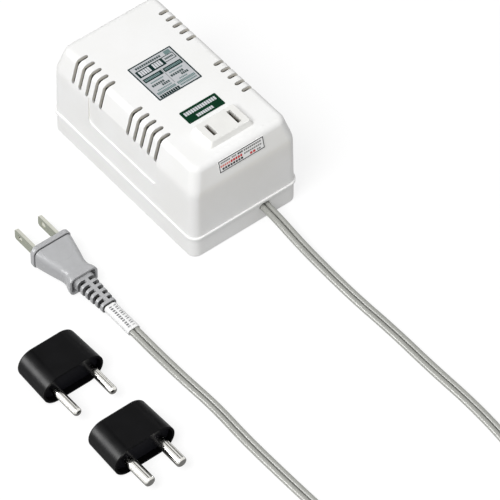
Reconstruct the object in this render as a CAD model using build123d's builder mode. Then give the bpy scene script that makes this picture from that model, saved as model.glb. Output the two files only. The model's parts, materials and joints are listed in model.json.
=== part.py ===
"""Travel voltage converter: a step-down transformer in a moulded case with an outlet on top, its flat
mains cord with a moulded plug, and two loose round-pin adapters. Millimetres, +Z up. The origin is the
middle of the case's underside. The case is long in Y, and the cord leaves its front end, towards -Y."""

from build123d import *
import math
import os

os.makedirs("parts", exist_ok=True)

# Case: cover and base
case_length = 101.2
case_width = 58.5
case_height = 52.4
seam_height = 11.8
shoulder_height = 12.9
crease_height = case_height - shoulder_height
crease_blend = 2.4
wall_draft = 0.4
side_shoulder = 3.5
end_shoulder = 3.2
corner_radius = 4.5
top_edge_radius = 3.3
wall = 2.2
base_floor = 2.5
base_edge_radius = 1.0
lip_proud = 0.8
lip_height = 1.0
lip_edge_radius = 0.3
overrun = 5.0

# Tongue of the base inside the cover's rebate
tongue_height = 1.6
tongue_thickness = 0.9
tongue_clearance = 0.2

# Cooling louvres over the two long top edges
louvre_width = 2.0
louvre_pitch = 4.92
louvres_in_group = 5
louvre_group_middles = (25.9, -13.15)
louvre_reach_over_top = 8.05
louvre_drop = 10.8
louvre_inner_reach = case_width / 2 - louvre_reach_over_top
louvre_low_end = case_height - louvre_drop
louvre_depth = 9.0

# Finger pocket in each long side
pocket_length = 48.3
pocket_below_crease = 14.1
pocket_above_crease = 6.5
pocket_bottom = crease_height - pocket_below_crease
pocket_top = crease_height + pocket_above_crease
pocket_depth = 0.75
pocket_corner_radius = 3.0

# Case screws, driven from below
screw_from_side = 6.3
screw_from_end = 6.3
base_boss_diameter = 7.8
cover_post_diameter = 6.6
post_rib = 1.4
case_screw_diameter = 3.0
case_screw_length = 17.0
case_screw_head_diameter = 5.4
case_screw_head_height = 2.0
case_screw_recess = 3.6
screw_clearance = 0.25
drive_width = 0.8
drive_depth = 0.9

# Outlet on the cover, for two flat blades
outlet_from_end = 16.2
outlet_middle = outlet_from_end - case_length / 2
outlet_foot_length = 24.4
outlet_foot_width = 14.0
outlet_top_length = 21.4
outlet_top_width = 12.2
outlet_rise = 2.9
outlet_corner_radius = 1.2
outlet_edge_radius = 0.4
outlet_overhang = 0.9
outlet_fit = 0.15
outlet_body_depth = 12.0
blade_pitch = 12.7
slot_width = 2.1
long_slot = 8.3
short_slot = 6.9
face_thickness = 3.6
chamber_width = 5.0
chamber_length = 10.0
catch_width = 7.0
catch_reach = 1.0
catch_height = 2.0
outlet_back_thickness = 1.5
outlet_screw_diameter = 2.2
outlet_screw_length = 8.0
outlet_screw_head_diameter = 4.0
outlet_screw_head_height = 1.4
outlet_screw_spacing = 7.0

# Outlet contacts
strip_thickness = 0.5
contact_width = 6.0
contact_height = 8.4
contact_mouth = 2.9
contact_nip = 1.3
contact_nip_height = 6.6
tail_width = 2.0
tail_length = 3.2

# Transformer: laminated core, bobbin and windings, as large as the case has room for
core_side_gap = 3.3
core_end_gap = 9.3
core_length_share = 0.5635
core_width_in_limbs = 2.5
core_length_in_limbs = 3
limb_by_width = (case_width - 2 * wall - 2 * core_side_gap) / core_width_in_limbs
limb_by_length = case_length * core_length_share / core_length_in_limbs
limb = min(limb_by_width, limb_by_length)
core_middle = case_length / 2 - wall - core_end_gap - core_length_in_limbs * limb / 2
core_post_height = 12.2
core_post_diameter = 7.0
bobbin_wall = 1.2
bobbin_flange = 1.4
bobbin_play = 0.2
bobbin_roof_gap = 0.2
flange_reach = limb / 2 - bobbin_play
stack = case_height - wall - bobbin_roof_gap - flange_reach - core_post_height - base_floor
window_gap = 1.6
wrap_thickness = 0.5
winding_build = limb / 2 - bobbin_play - bobbin_wall - wrap_thickness - window_gap
inner_winding_share = 0.55
core_screw_diameter = 3.2
core_screw_head_diameter = 6.4
core_screw_head_height = 2.2
core_screw_grip = 8.0

# Wires inside, and the thermal fuse in one of them
wire_radius = 0.9
fuse_from_end = 20.6
fuse_start = fuse_from_end - case_length / 2
fuse_length = 9.0
fuse_radius = 2.0

# Flat twin cord
lobe_radius = 1.35
lobe_offset = 1.3
groove_half = 0.75
lobe_sides = 8
cord_width = 2 * (lobe_offset + lobe_radius)
cord_thickness = 2 * lobe_radius

# Where the cord leaves the case
cord_exit_from_side = 18.65
cord_exit_x = case_width / 2 - cord_exit_from_side
cord_exit_height = 8.5
notch_clearance = 0.3
cord_inner_run = 12.6
cord_inner_end = cord_inner_run - case_length / 2
clamp_from_end = 8.0
clamp_middle = clamp_from_end - case_length / 2
clamp_length = 15.4
clamp_width = 5.0
clamp_thickness = 2.2
clamp_post_diameter = 4.6
clamp_post_spacing = 10.6
clamp_screw_diameter = 2.2
clamp_screw_length = 7.0
clamp_screw_head_diameter = 4.2
clamp_screw_head_height = 1.5
saddle_length = 6.4

# Labels
label_thickness = 0.2
label_corner_radius = 0.5
rating_label_size = 23.5
rating_label_middle = 6.3
outlet_label_length = 19.7
outlet_label_width = 7.8
outlet_label_from_outlet = 14.2
outlet_label_middle = outlet_middle + outlet_label_from_outlet
caution_label_length = 25.0
caution_label_drop = 1.9
caution_label_width = 6.2
caution_label_high = case_height - caution_label_drop
caution_label_low = caution_label_high - caution_label_width
caution_label_shift = -0.5

# Plug, lying on the table
plug_x = -76.8
plug_front = -9.3
plug_flange_width = 20.6
plug_flange_height = 12.4
plug_flange_thickness = 2.6
plug_flange_corner = 3.4
plug_flange_edge = 0.6
plug_groove_depth = 1.4
plug_groove_width = 0.6
plug_body_length = 22.6
plug_body_place_shares = (0.0, 0.1, 0.38, 0.62, 0.72, 0.8, 0.88, 0.94, 1.0)
plug_body_width_shares = (1.0, 0.955, 0.805, 0.665, 0.635, 0.655, 0.72, 0.755, 0.76)
plug_body_height_shares = (1.0, 0.985, 0.93, 0.87, 0.855, 0.87, 0.915, 0.935, 0.93)
plug_body_width = 19.6
plug_body_height = 11.2
plug_body_corner = 3.0
plug_recess_depth = 3.0
plug_recess_wall = 1.0
relief_length = 21.1
relief_start_width = 10.1
relief_start_height = 6.9
relief_end_width = 7.6
relief_end_height = 5.4
relief_corner = 2.2
relief_windows = 5
relief_first_window = 5.6
relief_window_pitch = 3.28
relief_window_width = 1.8
relief_web = 1.7
relief_core_width = 5.6
relief_core_height = 3.3
relief_core_corner = 1.5
blade_width = 6.0
blade_thickness = 1.5
blade_length = 15.9
blade_root = 7.0
blade_tip_chamfer = 0.5
blade_tip_corner = 1.3
blade_hole_diameter = 3.1
blade_hole_from_tip = 4.4
bridge_length = 16.4
bridge_height = 7.8
bridge_depth = 4.0
bridge_inset = 1.6
tag_gap = 0.6
tag_length = 16.6
tag_thickness = 0.4
tag_clearance = 0.15

# Free stretches of cord: points chosen by hand along the cord's middle line
cord_rest = lobe_radius
cord_front = -case_length / 2
plug_axis = plug_flange_height / 2
relief_end = plug_front - plug_flange_thickness - plug_body_length + plug_recess_depth - relief_length
converter_route = [
    (cord_exit_x, cord_inner_end, cord_exit_height),
    (cord_exit_x, cord_front - 5.4, cord_exit_height),
    (cord_exit_x + 0.3, cord_front - 23.9, 4.4),
    (11.9, -93.0, cord_rest),
    (11.7, -113.0, cord_rest),
    (12.7, -137.0, cord_rest),
    (12.5, -163.0, cord_rest),
    (13.3, -187.0, cord_rest),
    (12.2, -211.0, cord_rest),
    (8.8, -234.0, cord_rest),
    (6.4, -256.0, cord_rest),
    (6.4, -277.0, cord_rest),
]
plug_route = [
    (plug_x, relief_end, plug_axis),
    (plug_x, -68.0, plug_axis),
    (-75.6, -85.0, 3.4),
    (-74.2, -103.0, cord_rest),
    (-73.2, -122.0, cord_rest),
    (-74.2, -144.0, cord_rest),
    (-73.9, -168.0, cord_rest),
    (-73.3, -192.0, cord_rest),
    (-72.0, -216.0, 1.9),
    (-71.3, -238.0, 4.5),
    (-71.6, -258.0, 5.25),
    (-71.6, -277.0, 5.25),
]

# Coil of the length that is put away: it spirals in below and out again on top
coil_half_turns = 11
coil_outer_radius = 39.0
coil_step = 3.5
coil_layer = 3.9
coil_x = converter_route[-1][0] - coil_outer_radius
coil_y = converter_route[-1][1] - cord_width

# Loose adapters with round pins
adapter_x = -114.4
adapter_width = 31.8
adapter_rear_width = 30.4
adapter_height = 15.6
adapter_length = 20.0
adapter_edge_radius = 1.2
adapter_rim = 1.1
adapter_recess = 2.6
adapter_back = 2.4
adapter_wall = 1.6
pin_plate_thickness = 3.0
pin_plate_fit = 0.15
pin_root = 7.5
pin_root_step = 0.5
pin_shoulder = 0.8
pin_shoulder_thickness = 1.0
adapter_contact_depth = 6.8
adapter_contact_width = 5.6
adapter_slot_length = 7.2
thin_adapter_front = -76.6
thin_pin_diameter = 4.0
thin_pin_length = 19.0
thin_pin_pitch = 19.0
thin_pin_end_radius = 1.5
thick_adapter_front = -126.2
thick_pin_diameter = 5.1
thick_pin_length = 17.6
thick_pin_pitch = 16.7
thick_pin_end_radius = 0.9


def keep(part, name):
    """Label a finished piece and write its file."""
    part.label = name
    export_step(part, f"parts/{name}.step")


# Case
def draw_in(height, shoulder):
    """How far the case's wall has drawn in at a height: draft, soft crease, then sloping shoulder."""
    draft_slope = wall_draft / (crease_height - seam_height)
    shoulder_slope = shoulder / (case_height - crease_height)
    past = height - crease_height
    if past <= -crease_blend:
        return draft_slope * (height - seam_height)
    if past >= crease_blend:
        return wall_draft + shoulder_slope * past
    bend = (shoulder_slope - draft_slope) * (past + crease_blend) ** 2 / (4 * crease_blend)
    return draft_slope * (height - seam_height) + bend


def case_form(inset, low=seam_height):
    """The cover's closed form, drawn in by an inset from its walls and its top."""
    top = case_height - inset
    blend_places = [crease_height + crease_blend * share for share in (-1, -0.5, 0, 0.5, 1)]
    with BuildPart() as form:
        for height in [low, *blend_places, top]:
            half_width = case_width / 2 - inset - draw_in(height, side_shoulder)
            half_length = case_length / 2 - inset - draw_in(height, end_shoulder)
            with BuildSketch(Plane.XY.offset(height)):
                RectangleRounded(2 * half_width, 2 * half_length, corner_radius - inset)
        loft(ruled=True)
        fillet(form.faces().sort_by(Axis.Z)[-1].edges(), radius=top_edge_radius - inset)
    return form.part


outer_form = case_form(0)
screw_x = case_width / 2 - screw_from_side
screw_y = case_length / 2 - screw_from_end
screw_places = [(x, y) for x in (-screw_x, screw_x) for y in (-screw_y, screw_y)]
roof_under = case_height - wall
outlet_body_length = outlet_foot_length - 2 * outlet_overhang
outlet_body_width = outlet_foot_width - 2 * outlet_overhang

# Room inside the cover, which goes round the screw posts and their ribs
with BuildPart() as cover_room:
    add(case_form(wall))
    for x, y in screw_places:
        with BuildSketch(Plane.XY.offset(seam_height)):
            with Locations((x, y)):
                Circle(cover_post_diameter / 2)
            with Locations((math.copysign(case_width / 2, x) / 2 + x / 2, y)):
                Rectangle(screw_from_side, post_rib)
            with Locations((x, math.copysign(case_length / 2, y) / 2 + y / 2)):
                Rectangle(post_rib, screw_from_end)
        extrude(amount=case_height - seam_height, mode=Mode.SUBTRACT)


def louvre_cutters(side):
    """Slots that run over one long top edge, seen square on from halfway between top and side."""
    edge_x = case_width / 2 - draw_in(louvre_low_end, side_shoulder)
    low = (edge_x - louvre_low_end) / math.sqrt(2)
    high = (louvre_inner_reach - case_height) / math.sqrt(2)
    middle = (low + high) / 2
    rows = [group + louvre_pitch * (i - (louvres_in_group - 1) / 2)
            for group in louvre_group_middles for i in range(louvres_in_group)]
    corner_x = case_width / 2 - wall_draft - side_shoulder
    out = (corner_x + case_height) / 2
    origin = (side * (out + middle / math.sqrt(2)), 0, out - middle / math.sqrt(2))
    with BuildPart() as cutters:
        with BuildSketch(Plane(origin=origin, x_dir=(0, 1, 0), z_dir=(side, 0, 1))):
            with Locations([(y, 0) for y in rows]):
                SlotOverall(low - high + louvre_width, louvre_width, rotation=90)
        extrude(amount=louvre_depth, both=True)
    return cutters.part


pocket_face_x = case_width / 2 - draw_in(pocket_bottom, side_shoulder) - pocket_depth

with BuildPart() as top_cover:
    add(outer_form)
    with BuildSketch(Plane.XY.offset(seam_height)):
        RectangleRounded(case_width + 2 * lip_proud, case_length + 2 * lip_proud, corner_radius + lip_proud)
    extrude(amount=lip_height)
    lip_rims = top_cover.edges().filter_by(lambda e: abs(e.center().X) > case_width / 2 + lip_proud / 2
                                           or abs(e.center().Y) > case_length / 2 + lip_proud / 2)
    lip_top = lip_rims.filter_by(lambda e: abs(e.center().Z - seam_height - lip_height) < lip_edge_radius)
    fillet(lip_top.filter_by(Axis.X) + lip_top.filter_by(Axis.Y), radius=lip_edge_radius)
    add(cover_room.part, mode=Mode.SUBTRACT)
    rebate = wall - tongue_thickness - tongue_clearance
    with BuildSketch(Plane.XY.offset(seam_height)):
        RectangleRounded(case_width - 2 * rebate, case_length - 2 * rebate, corner_radius - rebate)
        RectangleRounded(case_width - 2 * wall, case_length - 2 * wall, corner_radius - wall, mode=Mode.SUBTRACT)
    extrude(amount=tongue_height + tongue_clearance, mode=Mode.SUBTRACT)
    add(louvre_cutters(1), mode=Mode.SUBTRACT)
    add(louvre_cutters(-1), mode=Mode.SUBTRACT)
    for side in (-1, 1):
        with BuildSketch(Plane.YZ.offset(side * pocket_face_x)):
            with Locations((0, (pocket_bottom + pocket_top) / 2)):
                RectangleRounded(pocket_length, pocket_top - pocket_bottom, pocket_corner_radius)
        extrude(amount=side * overrun, mode=Mode.SUBTRACT)
    with BuildSketch(Plane.XY.offset(case_height)):
        with Locations((0, outlet_middle)):
            Rectangle(outlet_body_length + 2 * outlet_fit, outlet_body_width + 2 * outlet_fit)
    extrude(amount=-overrun, mode=Mode.SUBTRACT)
    with BuildSketch(Plane.XY.offset(seam_height)):
        with Locations(screw_places):
            Circle(case_screw_diameter / 2)
    extrude(amount=case_screw_recess + case_screw_length + screw_clearance - seam_height, mode=Mode.SUBTRACT)
keep(top_cover.part, "top_cover")

core_bottom = base_floor + core_post_height
core_top = core_bottom + stack
core_screw_x = 5 * limb / 4 - limb / 4
core_screw_y = 3 * limb / 2 - limb / 4
core_screw_places = [(x, core_middle + y) for x in (-core_screw_x, core_screw_x)
                     for y in (-core_screw_y, core_screw_y)]
clamp_bottom = cord_exit_height + cord_thickness / 2
clamp_places = [(cord_exit_x - clamp_post_spacing / 2, clamp_middle),
                (cord_exit_x + clamp_post_spacing / 2, clamp_middle)]

with BuildPart() as base_pan:
    with BuildSketch():
        RectangleRounded(case_width, case_length, corner_radius)
    extrude(amount=seam_height)
    fillet(base_pan.faces().sort_by(Axis.Z)[0].edges(), radius=base_edge_radius)
    with BuildSketch(Plane.XY.offset(seam_height)):
        tongue_outer = wall - tongue_thickness
        RectangleRounded(case_width - 2 * tongue_outer, case_length - 2 * tongue_outer,
                         corner_radius - tongue_outer)
    extrude(amount=tongue_height)
    with BuildSketch(Plane.XY.offset(base_floor)):
        RectangleRounded(case_width - 2 * wall, case_length - 2 * wall, corner_radius - wall)
    extrude(amount=seam_height + tongue_height, mode=Mode.SUBTRACT)
    with BuildSketch(Plane.XY.offset(base_floor / 2)):
        with Locations(screw_places):
            Circle(base_boss_diameter / 2)
    extrude(amount=seam_height - base_floor / 2)
    with BuildSketch(Plane.XY.offset(seam_height)):
        RectangleRounded(case_width - 2 * tongue_outer, case_length - 2 * tongue_outer,
                         corner_radius - tongue_outer)
        with Locations([(x, y) for x, y in screw_places]):
            Rectangle(2 * screw_from_side, 2 * screw_from_end, mode=Mode.INTERSECT)
    extrude(amount=tongue_height + overrun, mode=Mode.SUBTRACT)
    with BuildSketch(Plane.XY.offset(base_floor / 2)):
        with Locations(core_screw_places):
            Circle(core_post_diameter / 2)
    extrude(amount=core_bottom - base_floor / 2)
    with BuildSketch(Plane.XY.offset(base_floor / 2)):
        with Locations(clamp_places):
            Circle(clamp_post_diameter / 2)
    extrude(amount=clamp_bottom - base_floor / 2)
    with BuildSketch(Plane.XY.offset(base_floor / 2)):
        with Locations((cord_exit_x, clamp_middle)):
            Rectangle(saddle_length, clamp_width)
    extrude(amount=cord_exit_height - cord_thickness / 2 - base_floor / 2)
    with BuildSketch():
        with Locations(screw_places):
            Circle(case_screw_head_diameter / 2 + screw_clearance)
    extrude(amount=case_screw_recess, mode=Mode.SUBTRACT)
    with BuildSketch():
        with Locations(screw_places):
            Circle(case_screw_diameter / 2 + screw_clearance)
    extrude(amount=seam_height, mode=Mode.SUBTRACT)
    with BuildSketch(Plane.XY.offset(core_bottom)):
        with Locations(core_screw_places):
            Circle(core_screw_diameter / 2)
    extrude(amount=-core_screw_grip, mode=Mode.SUBTRACT)
    with BuildSketch(Plane.XY.offset(clamp_bottom)):
        with Locations(clamp_places):
            Circle(clamp_screw_diameter / 2)
    extrude(amount=clamp_thickness - clamp_screw_length, mode=Mode.SUBTRACT)
    with BuildSketch(Plane.XZ.offset(case_length / 2 - wall - overrun / 5)):
        with Locations((cord_exit_x, cord_exit_height)):
            SlotOverall(cord_width + 2 * notch_clearance, cord_thickness + 2 * notch_clearance)
    extrude(amount=wall + overrun, mode=Mode.SUBTRACT)
keep(base_pan.part, "base_pan")


def screw_set(places, head_base, head_way, diameter, length, head_diameter, head_height):
    """Pan-head screws at the places. The head stands on head_base, away from the shank."""
    with BuildPart() as screws:
        with BuildSketch(Plane.XY.offset(head_base)):
            with Locations(places):
                Circle(diameter / 2)
        extrude(amount=-head_way * length)
        with BuildSketch(Plane.XY.offset(head_base)):
            with Locations(places):
                Circle(head_diameter / 2)
        extrude(amount=head_way * head_height)
        head_face = head_base + head_way * head_height
        rims = screws.edges().filter_by(lambda e: abs(e.center().Z - head_face) < drive_width / 2)
        fillet(rims, radius=head_height / 4)
        with BuildSketch(Plane.XY.offset(head_face)):
            with Locations(places):
                Rectangle(head_diameter * 0.62, drive_width)
                Rectangle(drive_width, head_diameter * 0.62)
        extrude(amount=-head_way * drive_depth, mode=Mode.SUBTRACT)
    return screws.part


keep(screw_set(screw_places, case_screw_recess, -1, case_screw_diameter, case_screw_length,
               case_screw_head_diameter, case_screw_head_height), "case_screws")

# Outlet: a moulded block with its bevelled face above the roof and its blade chambers below it
contact_places = [(-blade_pitch / 2, outlet_middle), (blade_pitch / 2, outlet_middle)]
chamber_top = case_height + outlet_rise - face_thickness
outlet_bottom = case_height - outlet_body_depth
catch_x = outlet_body_length / 2

with BuildPart() as outlet_body:
    with BuildSketch(Plane.XY.offset(case_height)):
        with Locations((0, outlet_middle)):
            RectangleRounded(outlet_foot_length, outlet_foot_width, outlet_corner_radius)
    with BuildSketch(Plane.XY.offset(case_height + outlet_rise)):
        with Locations((0, outlet_middle)):
            RectangleRounded(outlet_top_length, outlet_top_width, outlet_corner_radius)
    loft(ruled=True)
    fillet(outlet_body.faces().sort_by(Axis.Z)[-1].edges(), radius=outlet_edge_radius)
    with BuildSketch(Plane.XY.offset(case_height)):
        with Locations((0, outlet_middle)):
            Rectangle(outlet_body_length, outlet_body_width)
    extrude(amount=-outlet_body_depth)
    with BuildSketch(Plane.XZ.offset(-outlet_middle)):
        for side in (-1, 1):
            with BuildLine():
                Polyline((side * (catch_x - wall), roof_under), (side * (catch_x + catch_reach), roof_under),
                         (side * (catch_x + catch_reach), roof_under - strip_thickness),
                         (side * catch_x, roof_under - catch_height),
                         (side * (catch_x - wall), roof_under - catch_height), close=True)
            make_face()
    extrude(amount=catch_width / 2, both=True)
    with BuildSketch(Plane.XY.offset(chamber_top)):
        with Locations(contact_places):
            Rectangle(chamber_width, chamber_length)
    extrude(amount=-outlet_body_depth, mode=Mode.SUBTRACT)
    with BuildSketch(Plane.XY.offset(case_height + outlet_rise)):
        with Locations(contact_places[0]):
            Rectangle(slot_width, short_slot)
        with Locations(contact_places[1]):
            Rectangle(slot_width, long_slot)
    extrude(amount=-face_thickness, mode=Mode.SUBTRACT)
    with BuildSketch(Plane.XY.offset(outlet_bottom)):
        with Locations([(0, outlet_middle - outlet_screw_spacing / 2),
                        (0, outlet_middle + outlet_screw_spacing / 2)]):
            Circle(outlet_screw_diameter / 2)
    extrude(amount=outlet_screw_length, mode=Mode.SUBTRACT)
keep(outlet_body.part, "outlet_body")

contact_foot = outlet_bottom + strip_thickness / 2

with BuildPart() as outlet_contacts:
    for x, y in contact_places:
        with BuildSketch(Plane.XZ.offset(-y)):
            with BuildLine() as leaves:
                mouth = contact_mouth / 2 + strip_thickness / 2
                nip = contact_nip / 2 + strip_thickness / 2
                foot = chamber_width / 2 - strip_thickness
                FilletPolyline((x - mouth, contact_foot + contact_height),
                               (x - nip, contact_foot + contact_nip_height), (x - foot, contact_foot),
                               (x + foot, contact_foot), (x + nip, contact_foot + contact_nip_height),
                               (x + mouth, contact_foot + contact_height), radius=strip_thickness)
            trace(line_width=strip_thickness)
        extrude(amount=contact_width / 2, both=True)
        with BuildSketch(Plane.XY.offset(contact_foot)):
            with Locations((x, y)):
                Rectangle(strip_thickness, tail_width)
        extrude(amount=-outlet_back_thickness - tail_length)
keep(outlet_contacts.part, "outlet_contacts")

with BuildPart() as outlet_back:
    with BuildSketch(Plane.XY.offset(outlet_bottom - outlet_back_thickness)):
        with Locations((0, outlet_middle)):
            Rectangle(outlet_body_length, outlet_body_width)
        with Locations(contact_places):
            Rectangle(strip_thickness + 2 * outlet_fit, tail_width + 2 * outlet_fit, mode=Mode.SUBTRACT)
        with Locations([(0, outlet_middle - outlet_screw_spacing / 2),
                        (0, outlet_middle + outlet_screw_spacing / 2)]):
            Circle(outlet_screw_diameter / 2, mode=Mode.SUBTRACT)
    extrude(amount=outlet_back_thickness)
keep(outlet_back.part, "outlet_back")

outlet_screw_places = [(0, outlet_middle - outlet_screw_spacing / 2),
                       (0, outlet_middle + outlet_screw_spacing / 2)]
keep(screw_set(outlet_screw_places, outlet_bottom - outlet_back_thickness, -1, outlet_screw_diameter,
               outlet_screw_length, outlet_screw_head_diameter, outlet_screw_head_height), "outlet_screws")

# Transformer: the limbs lie along X and the laminations are stacked upwards
with BuildPart() as e_laminations:
    with BuildSketch(Plane.XY.offset(core_bottom)):
        with Locations((-limb / 4, core_middle)):
            Rectangle(2 * limb, core_length_in_limbs * limb)
        with Locations((0, core_middle - 3 * limb / 4), (0, core_middle + 3 * limb / 4)):
            Rectangle(3 * limb / 2, limb / 2, mode=Mode.SUBTRACT)
        with Locations(core_screw_places[:2]):
            Circle(core_screw_diameter / 2, mode=Mode.SUBTRACT)
    extrude(amount=stack)
keep(e_laminations.part, "e_laminations")

with BuildPart() as i_laminations:
    with BuildSketch(Plane.XY.offset(core_bottom)):
        with Locations((limb, core_middle)):
            Rectangle(limb / 2, core_length_in_limbs * limb)
        with Locations(core_screw_places[2:]):
            Circle(core_screw_diameter / 2, mode=Mode.SUBTRACT)
    extrude(amount=stack)
keep(i_laminations.part, "i_laminations")

core_height_middle = core_bottom + stack / 2
bobbin_length = 3 * limb / 2 - 2 * bobbin_play
tube_inner = bobbin_play
tube_outer = tube_inner + bobbin_wall
winding_outer = tube_outer + winding_build
wrap_outer = winding_outer + wrap_thickness
winding_length = bobbin_length - 2 * bobbin_flange


def round_limb(inner, outer, length, corner):
    """A ring round the middle limb, between two distances from the limb, with rounded corners."""
    with BuildPart() as ring:
        with BuildSketch(Plane(origin=(0, core_middle, core_height_middle), x_dir=(0, 1, 0), z_dir=(1, 0, 0))):
            RectangleRounded(limb + 2 * outer, stack + 2 * outer, corner + outer - inner)
            if corner > tube_inner:
                RectangleRounded(limb + 2 * inner, stack + 2 * inner, corner, mode=Mode.SUBTRACT)
            else:
                Rectangle(limb + 2 * inner, stack + 2 * inner, mode=Mode.SUBTRACT)
        extrude(amount=length / 2, both=True)
    return ring.part


with BuildPart() as bobbin:
    add(round_limb(tube_inner, tube_outer, bobbin_length, 0))
    for side in (-1, 1):
        place = side * (bobbin_length - bobbin_flange) / 2
        with BuildSketch(Plane(origin=(place, core_middle, core_height_middle), x_dir=(0, 1, 0),
                               z_dir=(1, 0, 0))):
            RectangleRounded(limb + 2 * flange_reach, stack + 2 * flange_reach, bobbin_flange)
            Rectangle(limb + 2 * tube_inner, stack + 2 * tube_inner, mode=Mode.SUBTRACT)
        extrude(amount=bobbin_flange / 2, both=True)
keep(bobbin.part, "bobbin")

winding_split = tube_outer + inner_winding_share * winding_build
keep(round_limb(tube_outer, winding_split, winding_length, bobbin_wall), "primary_winding")
split_corner = bobbin_wall + winding_split - tube_outer
keep(round_limb(winding_split, winding_outer, winding_length, split_corner), "secondary_winding")
wrap_corner = split_corner + winding_outer - winding_split
keep(round_limb(winding_outer, wrap_outer, winding_length, wrap_corner), "winding_wrap")
keep(screw_set(core_screw_places, core_top, 1, core_screw_diameter, stack + core_screw_grip,
               core_screw_head_diameter, core_screw_head_height), "core_screws")


# Wires inside the case, and the cord's clamp
def bent_path(points, radii):
    """Straight runs joined by tangent arcs, one radius for each corner."""
    with BuildLine() as path:
        FilletPolyline(*points, radius=radii)
    return path.wire()


def wire(points, bend):
    """A round insulated wire along straight runs and equal bends."""
    path = bent_path(points, bend)
    with BuildPart() as run:
        with BuildSketch(Plane(origin=path @ 0, z_dir=path % 0)):
            Circle(wire_radius)
        sweep(path=path)
    return run.part


wrap_front = core_middle - limb / 2 - wrap_outer
low_bulge = core_bottom - wrap_outer / 2
high_bulge = core_top + wrap_outer / 2
fuse_end = fuse_start + fuse_length
left_core_x = cord_exit_x - lobe_offset
right_core_x = cord_exit_x + lobe_offset
bend_radius = 3 * wire_radius

with BuildPart() as thermal_fuse:
    with BuildSketch(Plane.XZ.offset(-fuse_start)):
        with Locations((left_core_x, cord_exit_height)):
            Circle(fuse_radius)
    extrude(amount=-fuse_length)
    chamfer(thermal_fuse.edges().filter_by(GeomType.CIRCLE), length=fuse_radius / 4)
keep(thermal_fuse.part, "thermal_fuse")

with BuildPart() as primary_leads:
    with BuildSketch(Plane.XZ.offset(-cord_inner_end)):
        with Locations((left_core_x - wire_radius / 2, cord_exit_height)):
            Circle(wire_radius)
    extrude(amount=cord_inner_end - fuse_start)
    add(wire([(left_core_x, fuse_end, cord_exit_height),
              (left_core_x, fuse_end / 2 + wrap_front / 2 - bend_radius, cord_exit_height),
              (limb / 4, wrap_front - bend_radius, low_bulge), (limb / 4, wrap_front, low_bulge)],
             wire_radius))
    add(wire([(right_core_x + wire_radius / 2, cord_inner_end, cord_exit_height),
              (right_core_x + wire_radius / 2, fuse_end, cord_exit_height),
              (limb / 2, wrap_front - 2 * bend_radius, low_bulge), (limb / 2, wrap_front, low_bulge)],
             bend_radius))
keep(primary_leads.part, "primary_leads")

tail_face = outlet_middle + tail_width / 2
tail_middle = outlet_bottom - outlet_back_thickness - tail_length / 2

with BuildPart() as secondary_leads:
    for side in (-1, 1):
        lead_x = side * blade_pitch / 2
        wide_x = side * (blade_pitch / 2 + wire_radius)
        add(wire([(wide_x, wrap_front, high_bulge), (wide_x, core_middle - 3 * limb / 2, high_bulge),
                  (lead_x, core_middle - 3 * limb / 2 - 2 * bend_radius, tail_middle),
                  (lead_x, tail_face, tail_middle)], bend_radius))
keep(secondary_leads.part, "secondary_leads")

with BuildPart() as cord_clamp:
    with BuildSketch(Plane.XY.offset(clamp_bottom)):
        with Locations((cord_exit_x, clamp_middle)):
            RectangleRounded(clamp_length, clamp_width, clamp_width / 4)
        with Locations(clamp_places):
            Circle(clamp_screw_diameter / 2, mode=Mode.SUBTRACT)
    extrude(amount=clamp_thickness)
keep(cord_clamp.part, "cord_clamp")
keep(screw_set(clamp_places, clamp_bottom + clamp_thickness, 1, clamp_screw_diameter, clamp_screw_length,
               clamp_screw_head_diameter, clamp_screw_head_height), "clamp_screws")


# Labels
def top_label(length, width, middle, name):
    """A printed foil on the cover's top."""
    with BuildPart() as label:
        with BuildSketch(Plane.XY.offset(case_height)):
            with Locations((0, middle)):
                RectangleRounded(length, width, label_corner_radius)
        extrude(amount=label_thickness)
    keep(label.part, name)


top_label(rating_label_size, rating_label_size, rating_label_middle, "rating_label")
top_label(outlet_label_length, outlet_label_width, outlet_label_middle, "outlet_label")

with BuildPart() as caution_label:
    add(case_form(-label_thickness))
    with BuildSketch(Plane.XZ.offset(case_length / 4)):
        with Locations((caution_label_shift, (caution_label_low + caution_label_high) / 2)):
            RectangleRounded(caution_label_length, caution_label_high - caution_label_low, label_corner_radius)
    extrude(amount=case_length, mode=Mode.INTERSECT)
    add(outer_form, mode=Mode.SUBTRACT)
keep(caution_label.part, "caution_label")


# Cord
def twin_section(plane):
    """The flat twin cord's section: two faceted lobes with a groove between them, width along x."""
    corner_reach = lobe_radius / math.cos(math.pi / lobe_sides)
    step = 2 * math.pi / lobe_sides
    turns = [step * (i - lobe_sides / 4 - 0.5) for i in range(lobe_sides // 2 + 2)]
    right = [(lobe_offset + corner_reach * math.cos(t), corner_reach * math.sin(t)) for t in turns]
    left = [(-x, -y) for x, y in right]
    with BuildSketch(plane) as section:
        with BuildLine():
            Polyline(*right, (0, groove_half), *left, (0, -groove_half), close=True)
        make_face()
    return section


def cord_radii(route):
    """The largest arc that fits each corner: 0.45 of the shorter run over the tangent of half the turn."""
    points = [Vector(*p) for p in route]
    radii = []
    for before, here, after in zip(points, points[1:], points[2:]):
        turn = math.radians((here - before).get_angle(after - here))
        shorter = min((here - before).length, (after - here).length)
        radii.append(0.45 * shorter / math.tan(turn / 2))
    return radii


def cord_stretch(route, name):
    """One free stretch of the cord, as a tube of straight runs joined by tangent arcs."""
    radii = cord_radii(route)
    path = bent_path(route, radii)
    section = twin_section(Plane(origin=path @ 0, x_dir=(1, 0, 0), z_dir=path % 0))
    with BuildPart() as stretch:
        sweep(section.sketch, path=path)
    share = stretch.part.volume / (section.sketch.area * path.length)
    print(name, "length", round(path.length, 1), "volume share", round(share, 4))
    print(name, "radii", [round(r) for r in radii])
    keep(stretch.part, name)
    return path.length


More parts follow.
